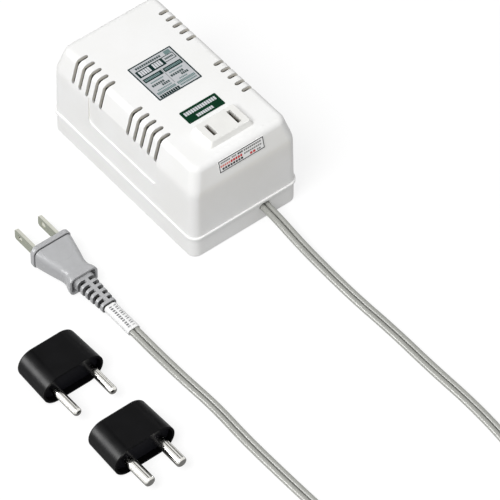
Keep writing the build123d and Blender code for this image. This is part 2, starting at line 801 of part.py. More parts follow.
def coil_points():
    """Ends of the coil's half turns, in and then out again, with the climb where the spiral reverses."""
    inward = (coil_half_turns - 1) // 2
    points = []
    for i in range(coil_half_turns + 1):
        radius = coil_outer_radius - coil_step * min(i, coil_half_turns - i)
        side = 1 if i % 2 == 0 else -1
        height = cord_rest + (coil_layer if i > inward else 0)
        points.append(Vector(coil_x + side * radius, coil_y, height))
    return points


def least_coil_gap(path, half_turns):
    """Smallest clear distance between the coil's turns, from points on its middle line."""
    samples = 24 * half_turns
    points = [path @ (i / samples) for i in range(samples + 1)]
    least = cord_width
    for i, one in enumerate(points):
        for other in points[i + 24:]:
            aside = max(math.hypot(one.X - other.X, one.Y - other.Y) - 2 * lobe_offset, 0)
            least = min(least, math.hypot(aside, one.Z - other.Z) - cord_thickness)
    return least


ends = coil_points()
with BuildLine() as coil_path:
    Line(ends[0] + Vector(0, cord_width, 0), ends[0])
    for i, (start, end) in enumerate(zip(ends, ends[1:])):
        heading = Vector(0, -1 if i % 2 == 0 else 1, 0)
        ThreePointArc(start, (start + end) * 0.5 + heading * ((end - start).length / 2), end)
    Line(ends[-1], ends[-1] + Vector(0, cord_width, 0))
coil_wire = coil_path.wire()
coil_section = twin_section(Plane(origin=coil_wire @ 0, x_dir=(1, 0, 0), z_dir=coil_wire % 0))
with BuildPart() as cord_coil:
    sweep(coil_section.sketch, path=coil_wire)
coil_share = cord_coil.part.volume / (coil_section.sketch.area * coil_wire.length)
print("cord_coil length", round(coil_wire.length, 1), "volume share", round(coil_share, 4))
print("cord_coil radii", [round((b - a).length / 2, 1) for a, b in zip(ends, ends[1:])])
print("cord_coil least gap to itself", round(least_coil_gap(coil_wire, coil_half_turns), 2))
keep(cord_coil.part, "cord_coil")

converter_length = cord_stretch(converter_route, "converter_cord")
plug_cord_length = cord_stretch(plug_route, "plug_cord")
print("cord length in all", round(converter_length + plug_cord_length + coil_wire.length))

# Plug
blade_places = [plug_x - blade_pitch / 2, plug_x + blade_pitch / 2]
body_front = plug_front - plug_flange_thickness
body_rear = body_front - plug_body_length

with BuildPart() as plug_blades:
    for x in blade_places:
        with BuildSketch(Plane.YZ.offset(x)):
            with Locations((plug_front + (blade_length - blade_root) / 2, plug_axis)):
                Rectangle(blade_length + blade_root, blade_width)
            with Locations((plug_front + blade_length - blade_hole_from_tip, plug_axis)):
                Circle(blade_hole_diameter / 2, mode=Mode.SUBTRACT)
        extrude(amount=blade_thickness / 2, both=True)
    tips = plug_blades.faces().filter_by(Axis.Y).group_by(Axis.Y)[-1]
    tip_corners = plug_blades.edges().filter_by(Axis.X).group_by(Axis.Y)[-1]
    chamfer(tip_corners, length=blade_tip_corner)
    tip_edges = plug_blades.edges().filter_by(Axis.Z).group_by(Axis.Y)[-1]
    chamfer(tip_edges, length=blade_tip_chamfer)
keep(plug_blades.part, "plug_blades")

with BuildPart() as plug_bridge:
    with BuildSketch(Plane.XZ.offset(-plug_front + bridge_inset)):
        with Locations((plug_x, plug_axis)):
            RectangleRounded(bridge_length, bridge_height, bridge_inset)
    extrude(amount=bridge_depth)
    add(plug_blades.part, mode=Mode.SUBTRACT)
keep(plug_bridge.part, "plug_bridge")

with BuildPart() as plug_body:
    with BuildSketch(Plane.XZ.offset(-plug_front)):
        with Locations((plug_x, plug_axis)):
            RectangleRounded(plug_flange_width, plug_flange_height, plug_flange_corner)
    extrude(amount=plug_flange_thickness)
    fillet(plug_body.edges(), radius=plug_flange_edge)
    with BuildSketch(Plane.XZ.offset(-body_front)):
        with Locations((plug_x, plug_axis)):
            RectangleRounded(plug_body_width - plug_groove_depth, plug_body_height - plug_groove_depth,
                             plug_body_corner - plug_groove_depth / 2)
    extrude(amount=plug_groove_width)
    for place, wide, high in zip(plug_body_place_shares, plug_body_width_shares, plug_body_height_shares):
        run = plug_groove_width + (plug_body_length - plug_groove_width) * place
        with BuildSketch(Plane.XZ.offset(-body_front + run)):
            with Locations((plug_x, plug_axis)):
                RectangleRounded(plug_body_width * wide, plug_body_height * high, plug_body_corner)
    loft(ruled=True)
    rear_width = plug_body_width * plug_body_width_shares[-1] - 2 * plug_recess_wall
    rear_height = plug_body_height * plug_body_height_shares[-1] - 2 * plug_recess_wall
    with BuildSketch(Plane.XZ.offset(-body_rear)):
        with Locations((plug_x, plug_axis)):
            RectangleRounded(rear_width, rear_height, plug_body_corner - plug_recess_wall)
    extrude(amount=-plug_recess_depth, mode=Mode.SUBTRACT)
    add(plug_bridge.part, mode=Mode.SUBTRACT)
    add(plug_blades.part, mode=Mode.SUBTRACT)
keep(plug_body.part, "plug_body")

relief_start = body_rear + plug_recess_depth


def relief_section(run):
    """Outer width and height of the strain relief at a distance behind the plug's rear face."""
    share = run / relief_length
    wide = relief_start_width + (relief_end_width - relief_start_width) * share
    high = relief_start_height + (relief_end_height - relief_start_height) * share
    return wide, high


with BuildPart() as plug_strain_relief:
    for run in (0, relief_length):
        with BuildSketch(Plane.XZ.offset(-relief_start + run)):
            with Locations((plug_x, plug_axis)):
                RectangleRounded(*relief_section(run), relief_corner)
    loft(ruled=True)
    for i in range(relief_windows):
        run = relief_first_window + i * relief_window_pitch
        wide, high = relief_section(run)
        with BuildSketch(Plane.XZ.offset(-relief_start + run - relief_window_width / 2)):
            with Locations((plug_x, plug_axis)):
                Rectangle(wide + overrun, high + overrun)
                RectangleRounded(relief_core_width, relief_core_height, relief_core_corner,
                                 mode=Mode.SUBTRACT)
                Rectangle(relief_web, high + 2 * overrun, mode=Mode.SUBTRACT)
        extrude(amount=relief_window_width, mode=Mode.SUBTRACT)
keep(plug_strain_relief.part, "plug_strain_relief")

# Paper tag wrapped flat round the cord behind the strain relief
tag_inner_width = cord_width + 2 * tag_clearance
tag_inner_height = cord_thickness + 2 * tag_clearance
tag_wire = bent_path(plug_route[:3], cord_radii(plug_route)[:1])

with BuildSketch(Plane(origin=tag_wire @ 0, x_dir=(1, 0, 0), z_dir=tag_wire % 0)) as tag_section:
    SlotOverall(tag_inner_width + 2 * tag_thickness, tag_inner_height + 2 * tag_thickness)
    SlotOverall(tag_inner_width, tag_inner_height, mode=Mode.SUBTRACT)
with BuildPart() as cord_tag:
    sweep(tag_section.sketch, path=tag_wire)
    with BuildSketch(Plane.XZ.offset(tag_gap - relief_end)):
        with Locations((plug_x, plug_axis)):
            Rectangle(plug_flange_width, 2 * plug_flange_height)
    extrude(amount=tag_length, mode=Mode.INTERSECT)
keep(cord_tag.part, "cord_tag")


# Adapters: the same shell with round pins of two kinds, lying with the pins towards -Y
def adapter(prefix, front, pin_diameter, pin_length, pin_pitch, pin_end_radius):
    """One loose adapter: shell, pin plate, two pins and the two contacts that join them to the slots."""
    middle = adapter_height / 2
    plate_front = front + adapter_recess
    plate_rear = plate_front + pin_plate_thickness
    rear = front + adapter_length
    pin_places = [adapter_x - pin_pitch / 2, adapter_x + pin_pitch / 2]
    root_radius = pin_diameter / 2 - pin_root_step
    slot_places = [(adapter_x - blade_pitch / 2, middle), (adapter_x + blade_pitch / 2, middle)]

    with BuildPart() as shell:
        with BuildSketch(Plane.XZ.offset(-front)):
            with Locations((adapter_x, middle)):
                SlotOverall(adapter_width, adapter_height)
        with BuildSketch(Plane.XZ.offset(-rear)):
            with Locations((adapter_x, middle)):
                SlotOverall(adapter_rear_width, adapter_height)
        loft(ruled=True)
        fillet(shell.faces().sort_by(Axis.Y)[-1].edges(), radius=adapter_edge_radius)
        with BuildSketch(Plane.XZ.offset(-front)):
            with Locations((adapter_x, middle)):
                SlotOverall(adapter_width - 2 * adapter_rim, adapter_height - 2 * adapter_rim)
        extrude(amount=-adapter_recess - pin_plate_thickness, mode=Mode.SUBTRACT)
        with BuildSketch(Plane.XZ.offset(-plate_rear)):
            with Locations((adapter_x, middle)):
                SlotOverall(adapter_rear_width - 2 * adapter_wall, adapter_height - 2 * adapter_wall)
        extrude(amount=-(rear - adapter_back - plate_rear), mode=Mode.SUBTRACT)
        with BuildSketch(Plane.XZ.offset(-rear)):
            with Locations(slot_places):
                Rectangle(slot_width, adapter_slot_length)
        extrude(amount=adapter_back, mode=Mode.SUBTRACT)
    keep(shell.part, f"{prefix}_shell")

    with BuildPart() as pins:
        for x in pin_places:
            with BuildSketch(Plane(origin=(x, plate_front, middle), x_dir=(1, 0, 0), z_dir=(0, 0, 1))):
                with BuildLine():
                    radius = pin_diameter / 2
                    Polyline((0, pin_root), (root_radius, pin_root),
                             (root_radius, pin_plate_thickness + pin_shoulder_thickness),
                             (radius + pin_shoulder, pin_plate_thickness + pin_shoulder_thickness),
                             (radius + pin_shoulder, pin_plate_thickness), (root_radius, pin_plate_thickness),
                             (root_radius, 0), (radius, 0), (radius, -pin_length + pin_end_radius))
                    RadiusArc((radius, -pin_length + pin_end_radius),
                              (radius - pin_end_radius, -pin_length), pin_end_radius)
                    Polyline((radius - pin_end_radius, -pin_length), (0, -pin_length), (0, pin_root))
                make_face()
            revolve(axis=Axis((x, plate_front, middle), (0, 1, 0)))
    keep(pins.part, f"{prefix}_pins")

    with BuildPart() as plate:
        with BuildSketch(Plane.XZ.offset(-plate_front)):
            with Locations((adapter_x, middle)):
                SlotOverall(adapter_width - 2 * adapter_rim - 2 * pin_plate_fit,
                            adapter_height - 2 * adapter_rim - 2 * pin_plate_fit)
            with Locations([(x, middle) for x in pin_places]):
                Circle(root_radius, mode=Mode.SUBTRACT)
        extrude(amount=-pin_plate_thickness)
    keep(plate.part, f"{prefix}_pin_plate")

    contact_front = plate_front + pin_root
    with BuildPart() as contacts:
        for side in (-1, 1):
            slot_x = adapter_x + side * blade_pitch / 2
            leaf = contact_nip / 2 + strip_thickness / 2
            pin_side = adapter_x + side * (pin_pitch / 2 + strip_thickness)
            with BuildSketch(Plane.XY.offset(middle - adapter_contact_width / 2)):
                with BuildLine():
                    strip_y = contact_front + strip_thickness / 2
                    Line((slot_x - side * leaf, strip_y), (pin_side, strip_y))
                trace(line_width=strip_thickness)
                with BuildLine():
                    Line((slot_x - leaf, contact_front), (slot_x - leaf, contact_front + adapter_contact_depth))
                trace(line_width=strip_thickness)
                with BuildLine():
                    Line((slot_x + leaf, contact_front), (slot_x + leaf, contact_front + adapter_contact_depth))
                trace(line_width=strip_thickness)
            extrude(amount=adapter_contact_width)
    keep(contacts.part, f"{prefix}_contacts")


adapter("thin_pin_adapter", thin_adapter_front, thin_pin_diameter, thin_pin_length, thin_pin_pitch,
        thin_pin_end_radius)
adapter("thick_pin_adapter", thick_adapter_front, thick_pin_diameter, thick_pin_length, thick_pin_pitch,
        thick_pin_end_radius)
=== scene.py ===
"""Travel voltage converter: the looks, the cord, the light and the camera around the packed frame."""

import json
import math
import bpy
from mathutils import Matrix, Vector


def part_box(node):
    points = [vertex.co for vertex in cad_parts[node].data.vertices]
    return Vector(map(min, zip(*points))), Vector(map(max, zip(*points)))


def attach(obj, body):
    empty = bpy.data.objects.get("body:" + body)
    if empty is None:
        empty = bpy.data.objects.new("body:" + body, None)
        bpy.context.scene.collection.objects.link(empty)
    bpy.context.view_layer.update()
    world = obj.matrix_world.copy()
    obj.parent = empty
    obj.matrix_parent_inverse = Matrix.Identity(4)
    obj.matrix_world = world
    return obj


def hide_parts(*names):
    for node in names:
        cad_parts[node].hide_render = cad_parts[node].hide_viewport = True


bl_info = {
    "name": "Travel Voltage Converter",
    "version": (1, 0, 0),
    "blender": (4, 5, 0),
    "location": "3D View > Sidebar > Converter",
    "description": "Dresses the packed converter, its cord, plug and adapters, and sets up the studio",
    "category": "Object",
}

import bpy
from bpy.props import FloatProperty, FloatVectorProperty, IntProperty, PointerProperty
from mathutils import Vector

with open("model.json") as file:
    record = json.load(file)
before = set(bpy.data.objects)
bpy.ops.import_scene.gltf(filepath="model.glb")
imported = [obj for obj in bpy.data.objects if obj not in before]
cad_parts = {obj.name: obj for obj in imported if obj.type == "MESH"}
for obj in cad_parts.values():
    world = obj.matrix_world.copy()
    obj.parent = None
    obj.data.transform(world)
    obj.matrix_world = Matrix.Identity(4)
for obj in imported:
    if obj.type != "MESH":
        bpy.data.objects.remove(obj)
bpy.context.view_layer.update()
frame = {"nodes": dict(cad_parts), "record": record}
nodes = frame["nodes"]

MM = 0.001
CONVERTER = "converter"

# The case's form, as in the part's source: where its walls turn over, how far the shoulders lean in above
# that for each millimetre of height, and how far the lip at the seam stands proud of the walls
CREASE_HEIGHT = 39.5 * MM
SIDE_LEAN = 3.5 / 12.9
END_LEAN = 3.2 / 12.9
LIP_PROUD = 0.8 * MM

# The cord's section: how far round each half is drawn, its sides, and the points of the whole outline
LOBE_SWEEP = math.radians(150)
LOBE_SIDES = 16
SECTION_POINTS = 2 * (LOBE_SIDES + 2)

# Painted shade: tones that stand in for the shade down in cuts and grooves
LOUVRE_WALL_SHADE = (0.80, 0.765, 0.68)
CASE_INSIDE_SHADE = (0.07, 0.065, 0.05)
OUTLET_SLOT_SHADE = (0.10, 0.08, 0.05)
RELIEF_WINDOW_SHADE = (0.02, 0.02, 0.02)
CORD_GROOVE_SHADE = (0.05, 0.05, 0.045)
PLUG_GROOVE_SHADE = (0.05, 0.05, 0.05)


# Settings that a user may change
def colour_setting(name, description, default):
    """A colour."""
    return FloatVectorProperty(name=name, description=description, default=default, min=0.0, max=1.0,
                               subtype="COLOR")


def length_setting(name, description, default):
    """A length in metres."""
    return FloatProperty(name=name, description=description, default=default, subtype="DISTANCE",
                         unit="LENGTH")


def angle_setting(name, description, degrees):
    """An angle, written in degrees."""
    return FloatProperty(name=name, description=description, default=math.radians(degrees),
                         subtype="ANGLE", unit="ROTATION")


def power_setting(name, description, default):
    """A lamp's power in watts."""
    return FloatProperty(name=name, description=description, default=default, unit="POWER")


class StudioSettings(bpy.types.PropertyGroup):
    """Where the camera stands and how strong the light is."""

    azimuth: angle_setting("Azimuth", "Turn of the camera round the converter", -38.53)
    elevation: angle_setting("Elevation", "Height of the camera above the horizon", 49.2)
    distance: length_setting("Distance", "Camera's distance from the case's foot", 2.202)
    aside: length_setting("Aside", "Camera's shift to its right", 0.03335)
    rise: length_setting("Rise", "Camera's shift upwards in its own view", -0.03912)
    lens: FloatProperty(name="Lens", description="Focal length in millimetres", default=357.0)
    sky: FloatProperty(name="Sky", description="Strength of the even light from all round", default=0.5)
    key_power: power_setting("Key power", "Power of the large lamp at the upper left", 19.0)
    key_size: length_setting("Key size", "Side of the large lamp", 0.9)
    strip_power: power_setting("Strip power", "Power of the long lamp that only gloss shows", 36.0)
    strip_length: length_setting("Strip length", "Length of that lamp", 1.0)
    strip_height: length_setting("Strip height", "Height of that lamp", 0.56)
    card_width: length_setting("Card width", "Width of the dark cards that only gloss shows", 0.45)
    card_height: length_setting("Card height", "Height of those cards", 0.8)


class CaseSettings(bpy.types.PropertyGroup):
    """Colours of the moulded case and the outlet."""

    body: colour_setting("Case", "Colour of the moulded case", (0.90, 0.90, 0.895))
    body_shade: colour_setting("Case shade", "Second tone in the case's plastic", (0.875, 0.873, 0.86))
    outlet: colour_setting("Outlet", "Colour of the outlet's plastic", (0.84, 0.835, 0.81))
    grain: length_setting("Grain", "Size of the moulded grain", 0.5 * MM)


class CordSettings(bpy.types.PropertyGroup):
    """Section, length and colour of the flat twin cord."""

    lobe_radius: length_setting("Lobe radius", "Radius of each half of the cord", 1.35 * MM)
    lobe_offset: length_setting("Lobe offset", "Distance of each half from the middle", 1.3 * MM)
    groove_half: length_setting("Web", "Half of the thickness between the two halves", 0.4 * MM)
    length: length_setting("Length", "Length of the cord from the case to the plug", 1.49)
    colour: colour_setting("Cord", "Colour of the cord's vinyl", (0.365, 0.368, 0.342))
    steps: IntProperty(name="Steps", description="Rings along the cord between two points", default=6)


class PlugSettings(bpy.types.PropertyGroup):
    """Colours of the plug, its strain relief, blades and tag."""

    body: colour_setting("Plug", "Colour of the moulded plug", (0.435, 0.438, 0.447))
    # The sides' dark tone and the edges' light tone are partly the plated and bare metal, partly painted
    # shade and painted highlight
    blade: colour_setting("Blades", "Colour of the blades' plated sides", (0.28, 0.295, 0.235))
    blade_edge_highlight: colour_setting("Blade edges", "Colour of the blades' cut edges", (0.64, 0.64, 0.57))
    tag: colour_setting("Tag", "Colour of the paper tag", (0.88, 0.88, 0.88))
    tag_ink: colour_setting("Tag ink", "Colour of the small marks on the tag", (0.17, 0.17, 0.175))


class AdapterSettings(bpy.types.PropertyGroup):
    """Colours of the two loose adapters."""

    shell: colour_setting("Shell", "Colour of the adapters' black plastic", (0.001, 0.001, 0.0013))
    pin: colour_setting("Pins", "Colour of the round pins' plating", (0.82, 0.81, 0.77))


class LabelSettings(bpy.types.PropertyGroup):
    """Colours of the foils and of the inks of their plain bars."""

    foil: colour_setting("Silver foil", "Ground of the square label", (0.53, 0.54, 0.56))
    green: colour_setting("Green foil", "Ground of the label by the outlet", (0.001, 0.036, 0.014))
    dark: colour_setting("Dark ink", "Dark green ink", (0.002, 0.022, 0.020))
    teal: colour_setting("Pale ink", "Grey green ink", (0.17, 0.25, 0.25))
    red: colour_setting("Red ink", "Red ink", (0.62, 0.05, 0.05))


# Handling of pieces
def select_only(*objects):
    """Make these objects the selection, the first one active."""
    bpy.ops.object.select_all(action="DESELECT")
    for one in objects:
        one.select_set(True)
    bpy.context.view_layer.objects.active = objects[0]


def settle(piece, name, body):
    """Name a finished piece, put its place in its mesh, and let it ride on its body."""
    select_only(piece)
    bpy.ops.object.transform_apply(location=True, rotation=True, scale=True)
    piece.name = name
    piece.data.name = name
    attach(piece, body)


def tint(colour, share):
    """A colour made darker or lighter by a share."""
    return tuple(min(1.0, part * share) for part in colour)


# Shader nodes. A value is another node's output or a plain number, vector or colour.
NODES_IN_ROW = 8
NODE_WIDTH = 200
NODE_HEIGHT = 260

# The sockets of a Mix node that take and give colours
MIX_FIRST = 6
MIX_SECOND = 7
MIX_RESULT = 2


def add_node(tree, kind, **settings):
    """A node with its settings, placed right of the last one in rows that end by the surface."""
    row, column = divmod(len(tree.nodes), NODES_IN_ROW)
    node = tree.nodes.new("ShaderNode" + kind)
    node.location = ((column - NODES_IN_ROW) * NODE_WIDTH, -row * NODE_HEIGHT)
    for label, value in settings.items():
        setattr(node, label, value)
    return node


def put(tree, value, socket):
    """Feed an input with a value."""
    if isinstance(value, bpy.types.NodeSocket):
        tree.links.new(value, socket)
    elif socket.type == "RGBA":
        socket.default_value = (*value, 1)
    else:
        socket.default_value = value


def fill(tree, node, values):
    """Feed a node's inputs by their names."""
    for label, value in values.items():
        put(tree, value, node.inputs[label])


def worked(tree, operation, *values):
    """The result of one sum."""
    step = add_node(tree, "Math", operation=operation)
    for socket, value in zip(step.inputs, values):
        put(tree, value, socket)
    return step.outputs[0]


def product(tree, first, *others):
    """Values multiplied with each other."""
    for value in others:
        first = worked(tree, "MULTIPLY", first, value)
    return first


def away(tree, value, middle):
    """The distance of a value from a middle one."""
    return worked(tree, "ABSOLUTE", worked(tree, "SUBTRACT", value, middle))


def between(tree, value, low, high, start=0.0, end=1.0):
    """A mask that runs from start to end while the value goes from low to high."""
    ramp = add_node(tree, "MapRange")
    fill(tree, ramp, {"Value": value, "From Min": low, "From Max": high, "To Min": start, "To Max": end})
    return ramp.outputs["Result"]


def blended(tree, mask, first, second):
    """Two colours mixed by a mask."""
    mix = add_node(tree, "Mix", data_type="RGBA")
    put(tree, mask, mix.inputs["Factor"])
    put(tree, first, mix.inputs[MIX_FIRST])
    put(tree, second, mix.inputs[MIX_SECOND])
    return mix.outputs[MIX_RESULT]


def cloudy(tree, place, scale, detail):
    """Soft noise over a place."""
    noise = add_node(tree, "TexNoise")
    fill(tree, noise, {"Vector": place, "Scale": scale, "Detail": detail})
    return noise.outputs["Fac"]


def raised(tree, height, depth):
    """A bump whose normal follows a height."""
    bump = add_node(tree, "Bump")
    fill(tree, bump, {"Height": height, "Distance": depth})
    return bump


def axes_of(tree, coordinate):
    """A coordinate's three values: Object is the place, Normal is the way that the surface faces."""
    source = add_node(tree, "TexCoord")
    parts = add_node(tree, "SeparateXYZ")
    tree.links.new(source.outputs[coordinate], parts.inputs[0])
    return parts.outputs


# Effects that several materials share
def new_group(name, inputs, outputs):
    """A shader node group with named sockets, its inside sources and its inside targets."""
    group = bpy.data.node_groups.new(name, "ShaderNodeTree")
    for label, kind, value in inputs:
        socket = group.interface.new_socket(label, in_out="INPUT", socket_type="NodeSocket" + kind)
        socket.default_value = value
    for label, kind in outputs:
        group.interface.new_socket(label, in_out="OUTPUT", socket_type="NodeSocket" + kind)
    entry = group.nodes.new("NodeGroupInput")
    leave = group.nodes.new("NodeGroupOutput")
    entry.location = (-(NODES_IN_ROW + 1) * NODE_WIDTH, 0)
    leave.location = (NODE_WIDTH, 0)
    return group, entry.outputs, leave.inputs


SKIN_OUTPUTS = (("Color", "Color"), ("Roughness", "Float"), ("Normal", "Vector"))
NOISE_MIDDLE = (0.3, 0.7)


def end_skin(group, entry, leave, tone, gloss, height, depth):
    """Lead a skin's tone, gloss and height to the group's targets."""
    rough = between(group, gloss, *NOISE_MIDDLE, entry["Smooth"], entry["Rough"])
    put(group, blended(group, tone, entry["Base"], entry["Shade"]), leave["Color"])
    put(group, rough, leave["Roughness"])
    put(group, raised(group, height, depth).outputs["Normal"], leave["Normal"])


def moulded_skin():
    """Fine moulded grain, slow change of tone and uneven gloss."""
    group, entry, leave = new_group("Moulded skin", (
        ("Base", "Color", (0.8, 0.8, 0.8, 1)), ("Shade", "Color", (0.7, 0.7, 0.7, 1)),
        ("Grain size", "Float", 0.5 * MM), ("Grain depth", "Float", 0.01 * MM),
        ("Patch size", "Float", 12 * MM), ("Smooth", "Float", 0.35), ("Rough", "Float", 0.5)),
        SKIN_OUTPUTS)
    place = add_node(group, "TexCoord").outputs["Object"]
    grain = cloudy(group, place, worked(group, "DIVIDE", 1.0, entry["Grain size"]), 3.0)
    patch = cloudy(group, place, worked(group, "DIVIDE", 1.0, entry["Patch size"]), 4.0)
    tone = between(group, patch, 0.35, 0.65)
    end_skin(group, entry, leave, tone, patch, grain, entry["Grain depth"])
    return group


def drawn_metal():
    """Metal with fine lines drawn along one direction, and uneven gloss."""
    group, entry, leave = new_group("Drawn metal", (
        ("Base", "Color", (0.7, 0.7, 0.7, 1)), ("Shade", "Color", (0.5, 0.5, 0.5, 1)),
        ("Lines", "Vector", (4000.0, 200.0, 4000.0)), ("Line depth", "Float", 0.004 * MM),
        ("Smooth", "Float", 0.15), ("Rough", "Float", 0.3)), SKIN_OUTPUTS)
    run = add_node(group, "VectorMath", operation="MULTIPLY")
    put(group, add_node(group, "TexCoord").outputs["Object"], run.inputs[0])
    put(group, entry["Lines"], run.inputs[1])
    lines = cloudy(group, run.outputs[0], 1.0, 3.0)
    tone = between(group, lines, *NOISE_MIDDLE)
    end_skin(group, entry, leave, tone, lines, lines, entry["Line depth"])
    return group


def stacked_rows():
    """Rounded rows side by side, such as wire turns, tape laps or core sheets, with painted shade down the
    grooves between them.
    """
    group, entry, leave = new_group("Stacked rows", (
        ("Place", "Float", 0.0), ("Pitch", "Float", 0.4 * MM), ("Base", "Color", (0.5, 0.2, 0.08, 1)),
        ("Groove shade", "Color", (0.1, 0.04, 0.02, 1)), ("Depth", "Float", 0.1 * MM)),
        (("Color", "Color"), ("Normal", "Vector")))
    row_share = worked(group, "FRACT", worked(group, "DIVIDE", entry["Place"], entry["Pitch"]))
    crown = worked(group, "POWER", worked(group, "PINGPONG", row_share, 0.5), 0.5)
    # painted shade: each row's colour darkens from its crown down to the groove tone
    put(group, blended(group, crown, entry["Groove shade"], entry["Base"]), leave["Color"])
    put(group, raised(group, crown, entry["Depth"]).outputs["Normal"], leave["Normal"])
    return group


groups = {}
GROUP_FEEDS = {"Color": "Base Color", "Roughness": "Roughness", "Normal": "Normal"}
PLAIN_SPECULAR = 0.5


def surface_of(material):
    """A material's surface shader."""
    return material.node_tree.nodes["Principled BSDF"]


def fed_by(material, label):
    """The output that feeds an input of the surface now."""
    return surface_of(material).inputs[label].links[0].from_socket


def dressed(name, maker, metallic, specular, values):
    """A material whose surface takes its look from the maker's group, which is made once."""
    material = bpy.data.materials.new(name)
    material.use_nodes = True
    tree, surface = material.node_tree, surface_of(material)
    fill(tree, surface, {"Metallic": metallic, "Specular IOR Level": specular})
    if maker not in groups:
        groups[maker] = maker()
    look = add_node(tree, "Group", node_tree=groups[maker])
    fill(tree, look, values)
    for label, target in GROUP_FEEDS.items():
        if label in look.outputs:
            put(tree, look.outputs[label], surface.inputs[target])
    return material


# Kinds of material. Grain, depths, patches and pitches are in millimetres.
def moulded(name, base, shade, grain, depth, patch, smooth, rough, specular=PLAIN_SPECULAR):
    """Moulded plastic, paper or vinyl."""
    return dressed(name, moulded_skin, 0.0, specular, {
        "Base": base, "Shade": shade, "Grain size": grain * MM, "Grain depth": depth * MM,
        "Patch size": patch * MM, "Smooth": smooth, "Rough": rough})


def drawn(name, base, shade, lines, depth, smooth, rough, metallic=1.0):
    """Drawn, rolled or brushed metal, with its lines across each axis in every metre."""
    return dressed(name, drawn_metal, metallic, PLAIN_SPECULAR, {
        "Base": base, "Shade": shade, "Lines": lines, "Line depth": depth * MM, "Smooth": smooth,
        "Rough": rough})


def rowed(name, base, groove, axis, pitch, depth, roughness, metallic):
    """Rows of wire, tape or sheet that follow each other along one axis."""
    material = dressed(name, stacked_rows, metallic, PLAIN_SPECULAR, {
        "Pitch": pitch * MM, "Base": base, "Groove shade": groove, "Depth": depth * MM})
    tree = material.node_tree
    rows = fed_by(material, "Base Color").node
    put(tree, axes_of(tree, "Object")[axis], rows.inputs["Place"])
    put(tree, roughness, surface_of(material).inputs["Roughness"])
    return material


def shade_by(material, mask, tone):
    """Mix another colour into a material's colour where the mask says so."""
    tree = material.node_tree
    mixed = blended(tree, mask, fed_by(material, "Base Color"), tone)
    put(tree, mixed, surface_of(material).inputs["Base Color"])


def cut_blades(blade, edge):
    """Plated strip with drawn lines on its flat sides, bright and smoother where its edges were cut; the
    darker sides and lighter edges are partly plating against bare metal and partly painted shade and
    painted highlight.
    """
    material = drawn("plated_blade", blade, tint(blade, 0.85), (300, 300, 5000), 0.001, 0.2, 0.32)
    tree = material.node_tree
    flat = worked(tree, "ABSOLUTE", axes_of(tree, "Normal")["X"])
    edges = between(tree, flat, 0.5, 0.9, 1.0, 0.0)
    # partly a painted highlight: the cut edges lighter than the plated sides
    shade_by(material, edges, edge)
    smoother = worked(tree, "SUBTRACT", 1.0, product(tree, edges, 0.6))
    gloss = product(tree, fed_by(material, "Roughness"), smoother)
    put(tree, gloss, surface_of(material).inputs["Roughness"])
    return material


TAG_ROW = 1.15 * MM
TAG_MARK_PITCH = 1.35 * MM
TAG_OTHER_ROW_SEED = 31.0


def marked_tag(paper, ink):
    """Paper with two rows of small marks along the cord on its upper side, some of them pale."""
    material = moulded("tag_paper", paper, tint(paper, 0.95), 0.3, 0.01, 2, 0.6, 0.8, 0.3)
    tree = material.node_tree
    low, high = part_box("cord_tag")
    spot, facing = axes_of(tree, "Object"), axes_of(tree, "Normal")
    aside = worked(tree, "SUBTRACT", spot["X"], (low.x + high.x) / 2)
    off_row = away(tree, worked(tree, "ABSOLUTE", aside), TAG_ROW)
    rows = between(tree, off_row, 0.62 * MM, 0.75 * MM, 1.0, 0.0)
    steps = worked(tree, "DIVIDE", spot["Y"], TAG_MARK_PITCH)
    marks = between(tree, worked(tree, "PINGPONG", steps, 0.5), 0.16, 0.22)
    mark_number = worked(tree, "FLOOR", worked(tree, "ADD", steps, 0.5))
    other_row = product(tree, worked(tree, "GREATER_THAN", aside, 0.0), TAG_OTHER_ROW_SEED)
    chance = add_node(tree, "TexWhiteNoise", noise_dimensions="1D")
    put(tree, worked(tree, "ADD", mark_number, other_row), chance.inputs["W"])
    strength = between(tree, chance.outputs["Value"], 0.1, 0.5, 0.35, 1.0)
    past_start = worked(tree, "GREATER_THAN", spot["Y"], low.y + 0.8 * MM)
    before_end = worked(tree, "LESS_THAN", spot["Y"], high.y - 1.2 * MM)
    above = between(tree, facing["Z"], 0.5, 0.7)
    shade_by(material, product(tree, rows, marks, strength, past_start, before_end, above), ink)
    return material


def vented_case(body, shade, grain):
    """Matt moulded plastic with painted shade down the louvres' walls and painted shade inside the case.
    """
    material = moulded("case_plastic", body, shade, grain, 0.012, 22, 0.42, 0.55, 0.12)
    tree = material.node_tree
    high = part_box("top_cover")[1]
    spot, facing = axes_of(tree, "Object"), axes_of(tree, "Normal")
    above_crease = worked(tree, "MAXIMUM", worked(tree, "SUBTRACT", spot["Z"], CREASE_HEIGHT), 0.0)
    depths = []
    for axis, reach, lean in (("X", high.x, SIDE_LEAN), ("Y", high.y, END_LEAN)):
        upright = worked(tree, "SUBTRACT", reach - LIP_PROUD, worked(tree, "ABSOLUTE", spot[axis]))
        depths.append(worked(tree, "SUBTRACT", upright, product(tree, above_crease, lean)))
    below_top = worked(tree, "SUBTRACT", high.z, spot["Z"])
    depth = worked(tree, "MINIMUM", worked(tree, "MINIMUM", *depths), below_top)
    louvre_wall = between(tree, worked(tree, "ABSOLUTE", facing["Y"]), 0.95, 0.985)
    painted_wall_shade = between(tree, depth, 0.1 * MM, 1.4 * MM, 0.0, 0.9)
    # painted shade: the louvres' walls darken with their depth below the outside
    shade_by(material, product(tree, louvre_wall, painted_wall_shade), LOUVRE_WALL_SHADE)
    # painted shade: all that lies deeper than the wall goes nearly black
    shade_by(material, between(tree, depth, 2.0 * MM, 2.15 * MM), CASE_INSIDE_SHADE)
    return material


SLOT_OFFSET = 6.35 * MM


